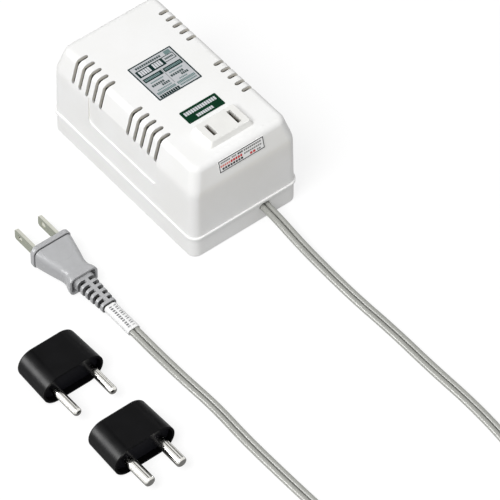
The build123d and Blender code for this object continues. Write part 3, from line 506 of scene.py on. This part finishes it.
def slotted_outlet(outlet):
    """Smooth warm plastic with painted shade down the two slots."""
    material = moulded("outlet_plastic", outlet, tint(outlet, 0.96), 0.3, 0.004, 6, 0.3, 0.42, 0.2)
    tree = material.node_tree
    low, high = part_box("outlet_body")
    spot = axes_of(tree, "Object")
    off_slot = away(tree, worked(tree, "ABSOLUTE", spot["X"]), SLOT_OFFSET)
    near_slot = between(tree, off_slot, 1.2 * MM, 1.3 * MM, 1.0, 0.0)
    off_middle = away(tree, spot["Y"], (low.y + high.y) / 2)
    in_row = between(tree, off_middle, 4.3 * MM, 4.4 * MM, 1.0, 0.0)
    slot_shade = between(tree, worked(tree, "SUBTRACT", high.z, spot["Z"]), 0.15 * MM, 3.0 * MM)
    # painted shade that deepens down the slots
    shade_by(material, product(tree, near_slot, in_row, slot_shade), OUTLET_SLOT_SHADE)
    return material


def windowed_relief(grey):
    """Moulded vinyl with painted shade in the strain relief's windows."""
    material = moulded("relief_vinyl", grey, tint(grey, 0.95), 0.35, 0.003, 5, 0.22, 0.34, 0.16)
    tree = material.node_tree
    low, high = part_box("plug_strain_relief")
    spot, facing = axes_of(tree, "Object"), axes_of(tree, "Normal")
    beside = away(tree, spot["X"], (low.x + high.x) / 2)
    level = away(tree, spot["Z"], (low.z + high.z) / 2)
    core = product(tree, between(tree, beside, 2.85 * MM, 3.0 * MM, 1.0, 0.0),
                   between(tree, level, 1.7 * MM, 1.85 * MM, 1.0, 0.0))
    walls = between(tree, worked(tree, "ABSOLUTE", facing["Y"]), 0.9, 0.97, 0.0, 0.6)
    # painted shade on the core seen through the windows and on the windows' walls
    shade_by(material, worked(tree, "MAXIMUM", core, walls), RELIEF_WINDOW_SHADE)
    return material


def grooved_cord(vinyl):
    """Glossy vinyl with painted shade, a dark and dull line, down the two grooves between the cord's
    halves.
    """
    material = moulded("cord_vinyl", vinyl, tint(vinyl, 0.95), 1.2, 0.0008, 6, 0.28, 0.36)
    tree = material.node_tree
    around = axes_of(tree, "UV")["Y"]
    upper = away(tree, around, (SECTION_POINTS / 2 - 1) / SECTION_POINTS)
    lower = away(tree, around, (SECTION_POINTS - 1) / SECTION_POINTS)
    groove = between(tree, worked(tree, "MINIMUM", upper, lower), 0.01, 0.06, 0.9, 0.0)
    # painted shade down the grooves; the gloss is turned down there as well
    shade_by(material, groove, CORD_GROOVE_SHADE)
    gloss = product(tree, worked(tree, "SUBTRACT", 1.0, groove), 0.4)
    put(tree, gloss, surface_of(material).inputs["Specular IOR Level"])
    return material


PLUG_RING = 7.4 * MM
PLUG_RING_FROM_FRONT = 6.8 * MM
PLUG_RING_DEPTH = 0.08 * MM
PLUG_GROOVE_FROM_FRONT = 2.9 * MM


def ringed_plug(grey):
    """Moulded vinyl with the faint round line on the plug's flat sides and painted shade in the groove by
    its flange.
    """
    material = moulded("plug_vinyl", grey, tint(grey, 0.95), 0.35, 0.002, 5, 0.2, 0.28, 0.16)
    tree = material.node_tree
    low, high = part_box("plug_body")
    off_groove = away(tree, axes_of(tree, "Object")["Y"], high.y - PLUG_GROOVE_FROM_FRONT)
    # painted shade in the groove by the flange
    shade_by(material, between(tree, off_groove, 0.3 * MM, 0.36 * MM, 0.55, 0.0), PLUG_GROOVE_SHADE)
    flat = add_node(tree, "VectorMath", operation="MULTIPLY")
    reach = add_node(tree, "VectorMath", operation="DISTANCE")
    put(tree, add_node(tree, "TexCoord").outputs["Object"], flat.inputs[0])
    put(tree, (1, 1, 0), flat.inputs[1])
    put(tree, flat.outputs[0], reach.inputs[0])
    put(tree, ((low.x + high.x) / 2, high.y - PLUG_RING_FROM_FRONT, 0), reach.inputs[1])
    off_ring = away(tree, reach.outputs["Value"], PLUG_RING)
    bump = raised(tree, between(tree, off_ring, 0.0, 0.35 * MM, 1.0, 0.0), PLUG_RING_DEPTH)
    put(tree, fed_by(material, "Normal"), bump.inputs["Normal"])
    put(tree, bump.outputs["Normal"], surface_of(material).inputs["Normal"])
    return material


def finishes(scene):
    """The material of each slot in the record, and of the pieces that have their own."""
    case, cord, plug = scene.converter_case, scene.converter_cord, scene.converter_plug
    adapter, label = scene.converter_adapter, scene.converter_label
    body, foil, green, shell, pin = case.body, label.foil, label.green, adapter.shell, adapter.pin
    return {
        "housing": vented_case(body, case.body_shade, case.grain / MM),
        "outlet_plastic": slotted_outlet(case.outlet),
        "silver_foil": drawn("silver_foil", foil, tint(foil, 0.93), (300, 9000, 300),
                             0.001, 0.4, 0.55, 0.0),
        "green_foil": moulded("green_foil", green, tint(green, 0.8), 0.2, 0.002, 4, 0.35, 0.5, 0.06),
        "white_foil": moulded("white_foil", body, tint(body, 0.97), 0.2, 0.002, 4, 0.3, 0.45, 0.4),
        "contact_metal": drawn("contact_brass", (0.78, 0.57, 0.22), (0.6, 0.42, 0.16),
                               (3000, 3000, 300), 0.004, 0.25, 0.4),
        "screw_steel": drawn("zinc_plated_steel", (0.62, 0.62, 0.6), (0.5, 0.5, 0.47),
                             (2000, 2000, 2000), 0.004, 0.25, 0.42),
        "lamination_steel": rowed("core_sheets", (0.22, 0.225, 0.23), (0.03, 0.03, 0.03),
                                  "Z", 0.5, 0.08, 0.5, 0.8),
        "bobbin_plastic": moulded("bobbin_nylon", (0.78, 0.74, 0.62), (0.7, 0.66, 0.55),
                                  0.6, 0.01, 9, 0.35, 0.5),
        "enamelled_wire": rowed("enamelled_copper", (0.62, 0.22, 0.07), (0.12, 0.03, 0.01),
                                "X", 0.45, 0.2, 0.25, 0.8),
        "insulation_tape": rowed("insulation_tape", (0.75, 0.55, 0.12), (0.45, 0.3, 0.06),
                                 "X", 6.0, 0.03, 0.3, 0.0),
        "wire_cover": moulded("wire_vinyl", (0.6, 0.58, 0.53), (0.55, 0.53, 0.48),
                              0.4, 0.004, 5, 0.3, 0.42),
        "fuse_body": moulded("fuse_resin", (0.62, 0.57, 0.48), (0.55, 0.5, 0.42), 0.4, 0.01, 3, 0.4, 0.6),
        "cord_vinyl": grooved_cord(cord.colour),
        "plug_vinyl": ringed_plug(plug.body),
        "relief_vinyl": windowed_relief(plug.body),
        "bridge_plastic": moulded("bridge_plastic", (0.03, 0.03, 0.03), (0.02, 0.02, 0.02),
                                  0.4, 0.006, 4, 0.4, 0.55),
        "blade_metal": cut_blades(plug.blade, plug.blade_edge_highlight),
        "tag_paper": marked_tag(plug.tag, plug.tag_ink),
        "adapter_plastic": moulded("black_plastic", shell, tint(shell, 1.5),
                                   0.4, 0.005, 7, 0.3, 0.4, 0.11),
        # painted light: the pin plates are the shell's black plastic made lighter, standing in for light
        # reflected in the recess
        "lit_plate_plastic": moulded("lit_plate_plastic", tint(shell, 12), tint(shell, 9),
                                 0.4, 0.005, 7, 0.3, 0.4, 0.11),
        "pin_metal": drawn("nickel_plate", pin, tint(pin, 0.92), (600, 2500, 600), 0.0004, 0.12, 0.18),
    }


made_finishes = {}
# The pin plates take the lighter copy of the black plastic, which is painted light
OWN_FINISHES = {
    "plug_strain_relief": "relief_vinyl",
    "thin_pin_adapter_pin_plate": "lit_plate_plastic",
    "thick_pin_adapter_pin_plate": "lit_plate_plastic",
}


def finish_of(scene, slot):
    """The material of a slot, made once."""
    if not made_finishes:
        made_finishes.update(finishes(scene))
    return made_finishes[slot]


# The studio, in metres: lamps and dark cards by their direction or place, and the table's looks
SENSOR_WIDTH = 36.0
KEY_TOWARD = (-0.593, -0.18, 0.785)
KEY_DISTANCE = 1.6
STRIP_TOWARD = (-0.76, 0.51, 0.40)
STRIP_DISTANCE = 1.3
CARD_PLACES = ((0.16, 0.66, 1.27), (1.08, 0.67, 0.51))
# Painted shadow: a dark card on the table under the adapters, seen only in gloss, that stands for the
# shade beneath them
PIN_SHADE_CARD_PLACE = (-0.115, -0.1, 0.0)
PIN_SHADE_CARD_SIZE = (0.06, 0.11)
CARD_GREY = (0.15, 0.15, 0.15)
TABLE_SIZE = 6.0
TABLE_DROP = 0.02 * MM
TABLE_GREY = (0.25, 0.25, 0.25)
TABLE_GLOW = 0.2
TABLE_GLOW_SEEN = 0.58
UP = (0, 0, 1)
WHITE = (1, 1, 1)


class CONVERTER_OT_studio(bpy.types.Operator):
    """Add the camera, the lamps, the dark cards, the pale table and the white surroundings"""

    bl_idname = "converter.studio"
    bl_label = "Studio"

    def execute(self, context):
        studio = context.scene.converter_studio
        turn, lift = studio.azimuth, studio.elevation
        back = Vector((math.sin(turn) * math.cos(lift), -math.cos(turn) * math.cos(lift), math.sin(lift)))
        right = Vector((math.cos(turn), math.sin(turn), 0))
        up = back.cross(right)
        eye = back * studio.distance + right * studio.aside + up * studio.rise
        bpy.ops.object.camera_add(location=eye, rotation=(math.pi / 2 - lift, 0, turn))
        camera = context.active_object
        camera.name = "studio_camera"
        camera.data.lens = studio.lens
        camera.data.sensor_width = SENSOR_WIDTH
        context.scene.camera = camera

        self.lamp("key_lamp", KEY_TOWARD, KEY_DISTANCE, studio.key_size, studio.key_size, studio.key_power)
        strip = self.lamp("strip_lamp", STRIP_TOWARD, STRIP_DISTANCE, studio.strip_length,
                          studio.strip_height, studio.strip_power)
        strip.visible_diffuse = False
        for place in CARD_PLACES:
            self.dark_card(place, place, studio.card_width, studio.card_height)
        # painted shadow under the adapters, seen only in the pins' gloss
        self.dark_card(PIN_SHADE_CARD_PLACE, UP, *PIN_SHADE_CARD_SIZE)

        bpy.ops.mesh.primitive_plane_add(size=TABLE_SIZE, location=(0, 0, -TABLE_DROP))
        table = context.active_object
        table.name = "studio_table"
        table.data.materials.append(self.table_material())
        self.white_surroundings(context.scene, studio.sky)
        context.scene.view_settings.view_transform = "Standard"
        return {"FINISHED"}

    def lamp(self, name, toward, distance, length, height, power):
        """A flat lamp that shines on the object from one side."""
        toward = Vector(toward).normalized()
        aim = toward.to_track_quat("Z", "Y").to_euler()
        bpy.ops.object.light_add(type="AREA", location=toward * distance, rotation=aim)
        lamp = bpy.context.active_object
        lamp.name = name
        lamp.data.shape = "RECTANGLE"
        lamp.data.size = length
        lamp.data.size_y = height
        lamp.data.energy = power
        lamp.visible_camera = False
        return lamp

    def dark_card(self, place, toward, width, height):
        """A card that only glossy plastic and plated metal show, as a darker patch."""
        aim = Vector(toward).to_track_quat("Z", "Y").to_euler()
        bpy.ops.mesh.primitive_plane_add(size=1.0, location=place, rotation=aim)
        card = bpy.context.active_object
        card.name = "dark_card"
        card.scale = (width, height, 1.0)
        material = bpy.data.materials.new("dark_card")
        material.use_nodes = True
        put(material.node_tree, CARD_GREY, surface_of(material).inputs["Base Color"])
        card.data.materials.append(material)
        card.visible_camera = False
        card.visible_diffuse = False
        card.visible_transmission = False
        card.visible_shadow = False

    def seen_ray(self, tree):
        """1 for rays from the camera, reflections and refractions, else 0."""
        rays = add_node(tree, "LightPath").outputs
        either = worked(tree, "MAXIMUM", rays["Is Camera Ray"], rays["Is Glossy Ray"])
        return worked(tree, "MAXIMUM", either, rays["Is Transmission Ray"])

    def table_material(self):
        """A pale table that looks white but keeps the object's soft shadow."""
        material = bpy.data.materials.new("pale_table")
        material.use_nodes = True
        tree = material.node_tree
        tree.nodes.clear()
        strength = worked(tree, "MULTIPLY_ADD", self.seen_ray(tree), TABLE_GLOW_SEEN, TABLE_GLOW)
        matte = add_node(tree, "BsdfDiffuse")
        glow = add_node(tree, "Emission")
        both = add_node(tree, "AddShader")
        put(tree, TABLE_GREY, matte.inputs["Color"])
        put(tree, strength, glow.inputs["Strength"])
        put(tree, matte.outputs[0], both.inputs[0])
        put(tree, glow.outputs[0], both.inputs[1])
        put(tree, both.outputs[0], add_node(tree, "OutputMaterial").inputs["Surface"])
        return material

    def white_surroundings(self, scene, strength):
        """White as seen, and an even plain light on the object."""
        world = bpy.data.worlds.new("studio_surroundings")
        scene.world = world
        world.use_nodes = True
        tree = world.node_tree
        tree.nodes.clear()
        seen_share = self.seen_ray(tree)
        lit = add_node(tree, "Background")
        seen = add_node(tree, "Background")
        both = add_node(tree, "MixShader")
        fill(tree, lit, {"Color": WHITE, "Strength": strength})
        put(tree, WHITE, seen.inputs["Color"])
        for socket, value in zip(both.inputs, (seen_share, lit.outputs[0], seen.outputs[0])):
            put(tree, value, socket)
        put(tree, both.outputs[0], add_node(tree, "OutputWorld").inputs["Surface"])


# The cord's route, as in the part's source, in millimetres
CONVERTER_ROUTE = [
    (10.6, -38.0, 8.5), (10.6, -56.0, 8.5), (10.9, -74.5, 4.4), (11.9, -93.0, 1.35),
    (11.7, -113.0, 1.35), (12.7, -137.0, 1.35), (12.5, -163.0, 1.35), (13.3, -187.0, 1.35),
    (12.2, -211.0, 1.35), (8.8, -234.0, 1.35), (6.4, -256.0, 1.35), (6.4, -277.0, 1.35),
]
PLUG_ROUTE = [
    (-76.8, -52.6, 6.2), (-76.8, -68.0, 6.2), (-75.6, -85.0, 3.4), (-74.2, -103.0, 1.35),
    (-73.2, -122.0, 1.35), (-74.2, -144.0, 1.35), (-73.9, -168.0, 1.35), (-73.3, -192.0, 1.35),
    (-72.0, -216.0, 1.9), (-71.3, -238.0, 4.5), (-71.6, -258.0, 5.25), (-71.6, -277.0, 5.25),
]

# The coil of the put-away length: its half turns, its middle, the radius of the outer turn, how much
# smaller each half turn is than the one outside it, and the heights of its two layers
COIL_HALF_TURNS = 11
COIL_MIDDLE = (-32.6, -282.3)
COIL_OUTER_RADIUS = 39.0
COIL_STEP = 3.5
COIL_LOW = 1.35
COIL_HIGH = 5.25
POINTS_PER_HALF_TURN = 8


class CONVERTER_OT_cord(bpy.types.Operator):
    """Lay the flat twin cord from the case through its coil to the plug"""

    bl_idname = "converter.cord"
    bl_label = "Cord"

    def execute(self, context):
        cord = context.scene.converter_cord
        curve = bpy.data.curves.new("mains_cord", "CURVE")
        curve.dimensions = "3D"
        curve.twist_mode = "Z_UP"
        curve.resolution_u = cord.steps
        curve.bevel_mode = "OBJECT"
        curve.bevel_object = self.section(context, cord)
        curve.use_fill_caps = True
        route = CONVERTER_ROUTE + self.coil() + PLUG_ROUTE[::-1]
        spline = curve.splines.new("NURBS")
        spline.points.add(len(route) - 1)
        for point, (x, y, z) in zip(spline.points, route):
            point.co = (x * MM, y * MM, z * MM, 1)
        spline.order_u = 3
        spline.use_endpoint_u = True
        piece = bpy.data.objects.new("mains_cord", curve)
        context.scene.collection.objects.link(piece)
        curve.materials.append(finish_of(context.scene, "cord_vinyl"))
        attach(piece, CONVERTER)
        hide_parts("converter_cord", "cord_coil", "plug_cord")
        return {"FINISHED"}

    def coil(self):
        """Points along the coil's half turns, which spiral in below and out again on top."""
        points = []
        for i in range(COIL_HALF_TURNS):
            side = -1 if i % 2 else 1
            start = COIL_OUTER_RADIUS - COIL_STEP * min(i, COIL_HALF_TURNS - i)
            end = COIL_OUTER_RADIUS - COIL_STEP * min(i + 1, COIL_HALF_TURNS - i - 1)
            low = COIL_LOW if i <= COIL_HALF_TURNS // 2 else COIL_HIGH
            high = COIL_LOW if i + 1 <= COIL_HALF_TURNS // 2 else COIL_HIGH
            middle = COIL_MIDDLE[0] + side * (start - end) / 2
            radius = (start + end) / 2
            for k in range(POINTS_PER_HALF_TURN):
                share = k / POINTS_PER_HALF_TURN
                angle = math.pi * share
                points.append((middle + side * radius * math.cos(angle),
                               COIL_MIDDLE[1] - side * radius * math.sin(angle),
                               low + (high - low) * share))
        points.append((COIL_MIDDLE[0] - COIL_OUTER_RADIUS, COIL_MIDDLE[1], COIL_HIGH))
        return points

    def section(self, context, cord):
        """The two round halves with the groove between them."""
        curve = bpy.data.curves.new("cord_section", "CURVE")
        curve.dimensions = "2D"
        angles = [LOBE_SWEEP * (2 * i / LOBE_SIDES - 1) for i in range(LOBE_SIDES + 1)]
        half = [(cord.lobe_offset + cord.lobe_radius * math.cos(a), cord.lobe_radius * math.sin(a))
                for a in angles]
        half.append((0.0, cord.groove_half))
        outline = half + [(-x, -y) for x, y in half]
        spline = curve.splines.new("POLY")
        spline.points.add(len(outline) - 1)
        for point, (x, y) in zip(spline.points, outline):
            point.co = (x, y, 0, 1)
        spline.use_cyclic_u = True
        profile = bpy.data.objects.new("cord_section", curve)
        context.scene.collection.objects.link(profile)
        profile.hide_render = True
        profile.hide_viewport = True
        return profile


class CONVERTER_OT_finishes(bpy.types.Operator):
    """Give each piece of the frame the material of its slot"""

    bl_idname = "converter.finishes"
    bl_label = "Finishes"

    def execute(self, context):
        for row in frame["record"]["subparts"]:
            piece = nodes[row["node"]]
            piece.data.materials.clear()
            finish = OWN_FINISHES.get(row["node"], row["material_slot"])
            piece.data.materials.append(finish_of(context.scene, finish))
        return {"FINISHED"}


# Printed bars of the labels, in millimetres: left, right, low and high edge from the label's middle, how
# many bars the strip is split into, and the ink. A split strip's bars have gaps of a share of their pitch.
BAR_GAP_SHARE = 0.22
INK_THICKNESS = 0.03
RATING_BARS = [
    (-11.65, 11.65, 11.05, 11.65, 1, "dark"), (-11.65, 11.65, -11.65, -11.05, 1, "dark"),
    (-11.65, -11.05, -11.05, 11.05, 1, "dark"), (11.05, 11.65, -11.05, 11.05, 1, "dark"),
    (-9.0, 4.9, 8.9, 10.1, 12, "teal_dark"), (7.0, 10.1, 8.4, 10.6, 1, "teal"),
    (-10.2, 4.3, 3.9, 8.2, 1, "dark"),
    (4.3, 10.4, 7.9, 8.25, 1, "dark"), (4.3, 10.4, 4.7, 5.05, 1, "dark"),
    (10.1, 10.4, 5.05, 7.9, 1, "dark"),
    (5.1, 9.6, 6.0, 7.0, 6, "teal_dark"),
    (-10.2, -0.2, 0.2, 2.7, 1, "dark"), (0.7, 10.5, 0.2, 2.7, 1, "dark"),
    (0.15, 0.35, -7.0, 3.3, 26, "teal_dark"),
    (-8.6, -1.7, -1.5, -0.8, 9, "teal"), (1.6, 8.9, -1.5, -0.8, 9, "teal"),
    (-9.3, -2.6, -3.7, -2.4, 6, "teal_dark"), (1.0, 7.9, -3.7, -2.4, 6, "teal_dark"),
    (-5.1, -0.9, -5.4, -4.1, 4, "teal_dark"), (5.4, 9.3, -5.4, -4.1, 4, "teal_dark"),
    (-8.8, -1.0, -6.8, -6.1, 9, "teal"), (3.1, 7.5, -6.8, -6.1, 5, "teal"),
    (-10.2, -0.2, -8.9, -7.4, 13, "teal"), (0.8, 10.4, -8.9, -7.4, 13, "teal"),
    (-10.3, 0.3, -11.0, -9.4, 9, "dark"), (1.2, 10.2, -10.2, -9.3, 11, "teal"),
]
RATING_LIGHT_BARS = [
    (-9.2, -3.2, 4.6, 7.6, 5, "foil"), (-1.8, 3.1, 4.6, 7.6, 4, "foil"),
    (-9.8, -1.5, 0.8, 2.1, 10, "teal"), (1.2, 9.9, 0.8, 2.1, 11, "teal"),
]
OUTLET_BARS = [
    (-8.7, 8.6, 0.4, 2.5, 14, "foil"), (-4.5, 4.5, -2.9, -1.2, 8, "foil"),
]
CAUTION_BARS = [
    (-12.4, 12.2, 2.6, 3.05, 1, "grey_dark"), (-12.4, 12.2, -3.05, -2.6, 1, "grey_dark"),
    (-12.4, -11.95, -2.6, 2.6, 1, "grey_dark"), (11.75, 12.2, -2.6, 2.6, 1, "grey_dark"),
    (-11.3, -6.1, 1.2, 2.0, 6, "grey"), (-5.3, -2.6, 1.2, 2.0, 3, "grey"),
    (-2.1, 0.9, 1.1, 2.1, 3, "grey_dark"), (1.3, 10.9, 1.1, 2.0, 9, "grey"),
    (-11.8, -6.2, -0.6, 0.5, 5, "salmon"), (-6.2, 0.4, -0.7, 0.6, 5, "red"),
    (1.2, 10.9, -0.5, 0.3, 9, "grey"), (-11.0, 0.6, -2.2, -1.1, 8, "grey_dark"),
    (4.1, 7.4, -2.3, -1.1, 2, "red"), (7.9, 10.2, -2.2, -1.4, 2, "grey"),
]

# Each flat label's print, its bars, its label, how far it lies above the label, and its slot
FLAT_PRINTS = (
    ("rating_print", RATING_BARS, "rating_label", 0, "green_foil"),
    ("rating_light_print", RATING_LIGHT_BARS, "rating_label", INK_THICKNESS * MM, "silver_foil"),
    ("outlet_print", OUTLET_BARS, "outlet_label", 0, "silver_foil"),
)

# The sloping end that carries the caution label: its rise and run, and the label's thickness along Y
END_RISE = 0.9706
END_RUN = 0.2408
CAUTION_ACROSS = 0.206 * MM


class CONVERTER_OT_labels(bpy.types.Operator):
    """Print the plain bars on the three labels"""

    bl_idname = "converter.labels"
    bl_label = "Labels"

    def execute(self, context):
        inks = self.inks(context.scene.converter_label)
        for name, bars, label, lift, slot in FLAT_PRINTS:
            low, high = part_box(label)
            middle = (low + high) / 2
            self.print_bars(name, bars, inks, (middle.x, middle.y, high.z + lift), 0, slot)
        low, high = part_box("caution_label")
        face = ((low.x + high.x) / 2, (low.y + high.y - CAUTION_ACROSS) / 2, (low.z + high.z) / 2)
        tilt = math.atan2(END_RISE, END_RUN)
        self.print_bars("caution_print", CAUTION_BARS, inks, face, tilt, "white_foil")
        return {"FINISHED"}

    def inks(self, label):
        """A material for each ink."""
        tones = {
            "dark": label.dark, "teal": label.teal, "teal_dark": tint(label.teal, 0.35),
            "foil": tint(label.foil, 1.25), "red": label.red, "salmon": (0.82, 0.28, 0.24),
            "grey": (0.24, 0.24, 0.23), "grey_dark": (0.045, 0.045, 0.045),
        }
        return {ink: moulded(f"ink_{ink}", tone, tint(tone, 0.85), 0.15, 0.001, 0.8, 0.4, 0.6, 0.1)
                for ink, tone in tones.items()}

    def print_bars(self, name, strips, inks, place, tilt, slot):
        """Thin printed bars, laid flat, then turned up and moved to their label."""
        bars = []
        for left, right, low, high, count, ink in strips:
            wide, tall = right - left, high - low
            upright = tall > wide
            pitch = max(wide, tall) / count
            width = pitch * (1 - BAR_GAP_SHARE) if count > 1 else pitch
            for i in range(count):
                along = (i + 0.5) * pitch
                x, y = ((left + right) / 2, low + along) if upright else (left + along, (low + high) / 2)
                sides = (wide, width) if upright else (width, tall)
                bpy.ops.mesh.primitive_cube_add(size=MM, scale=(*sides, INK_THICKNESS),
                                                location=(x * MM, y * MM, INK_THICKNESS * MM / 2))
                bar = bpy.context.active_object
                bar.data.materials.append(inks[ink])
                bars.append(bar)
        select_only(*bars)
        bpy.ops.object.transform_apply(location=True, rotation=True, scale=True)
        bpy.ops.object.join()
        piece = bpy.context.active_object
        piece.rotation_euler = (tilt, 0, 0)
        piece.location = place
        settle(piece, name, CONVERTER)


class CONVERTER_OT_declare(bpy.types.Operator):
    """A step that does nothing"""

    bl_idname = "converter.declare"
    bl_label = "Cord facts"

    def execute(self, context):
        return {"FINISHED"}


class CONVERTER_PT_sidebar(bpy.types.Panel):
    """Settings and steps of the converter"""

    bl_idname = "CONVERTER_PT_sidebar"
    bl_label = "Travel voltage converter"
    bl_space_type = "VIEW_3D"
    bl_region_type = "UI"
    bl_category = "Converter"

    def draw(self, context):
        layout = self.layout
        for owner, settings in SETTINGS.items():
            group = getattr(context.scene, owner)
            box = layout.box()
            box.label(text=settings.__doc__)
            for label in settings.__annotations__:
                box.prop(group, label)
        for step in STEPS:
            layout.operator(step.bl_idname)


SETTINGS = {
    "converter_studio": StudioSettings,
    "converter_case": CaseSettings,
    "converter_cord": CordSettings,
    "converter_plug": PlugSettings,
    "converter_adapter": AdapterSettings,
    "converter_label": LabelSettings,
}
STEPS = (CONVERTER_OT_studio, CONVERTER_OT_cord, CONVERTER_OT_finishes, CONVERTER_OT_labels,
         CONVERTER_OT_declare)
CLASSES = (*SETTINGS.values(), *STEPS, CONVERTER_PT_sidebar)


def register():
    for one in CLASSES:
        bpy.utils.register_class(one)
    for owner, settings in SETTINGS.items():
        setattr(bpy.types.Scene, owner, PointerProperty(type=settings))


def unregister():
    for owner in SETTINGS:
        delattr(bpy.types.Scene, owner)
    for one in reversed(CLASSES):
        bpy.utils.unregister_class(one)


def main():
    """Run every step."""
    register()
    for step in STEPS:
        group, action = step.bl_idname.split(".")
        getattr(getattr(bpy.ops, group), action)()


if __name__ == "__main__":
    main()
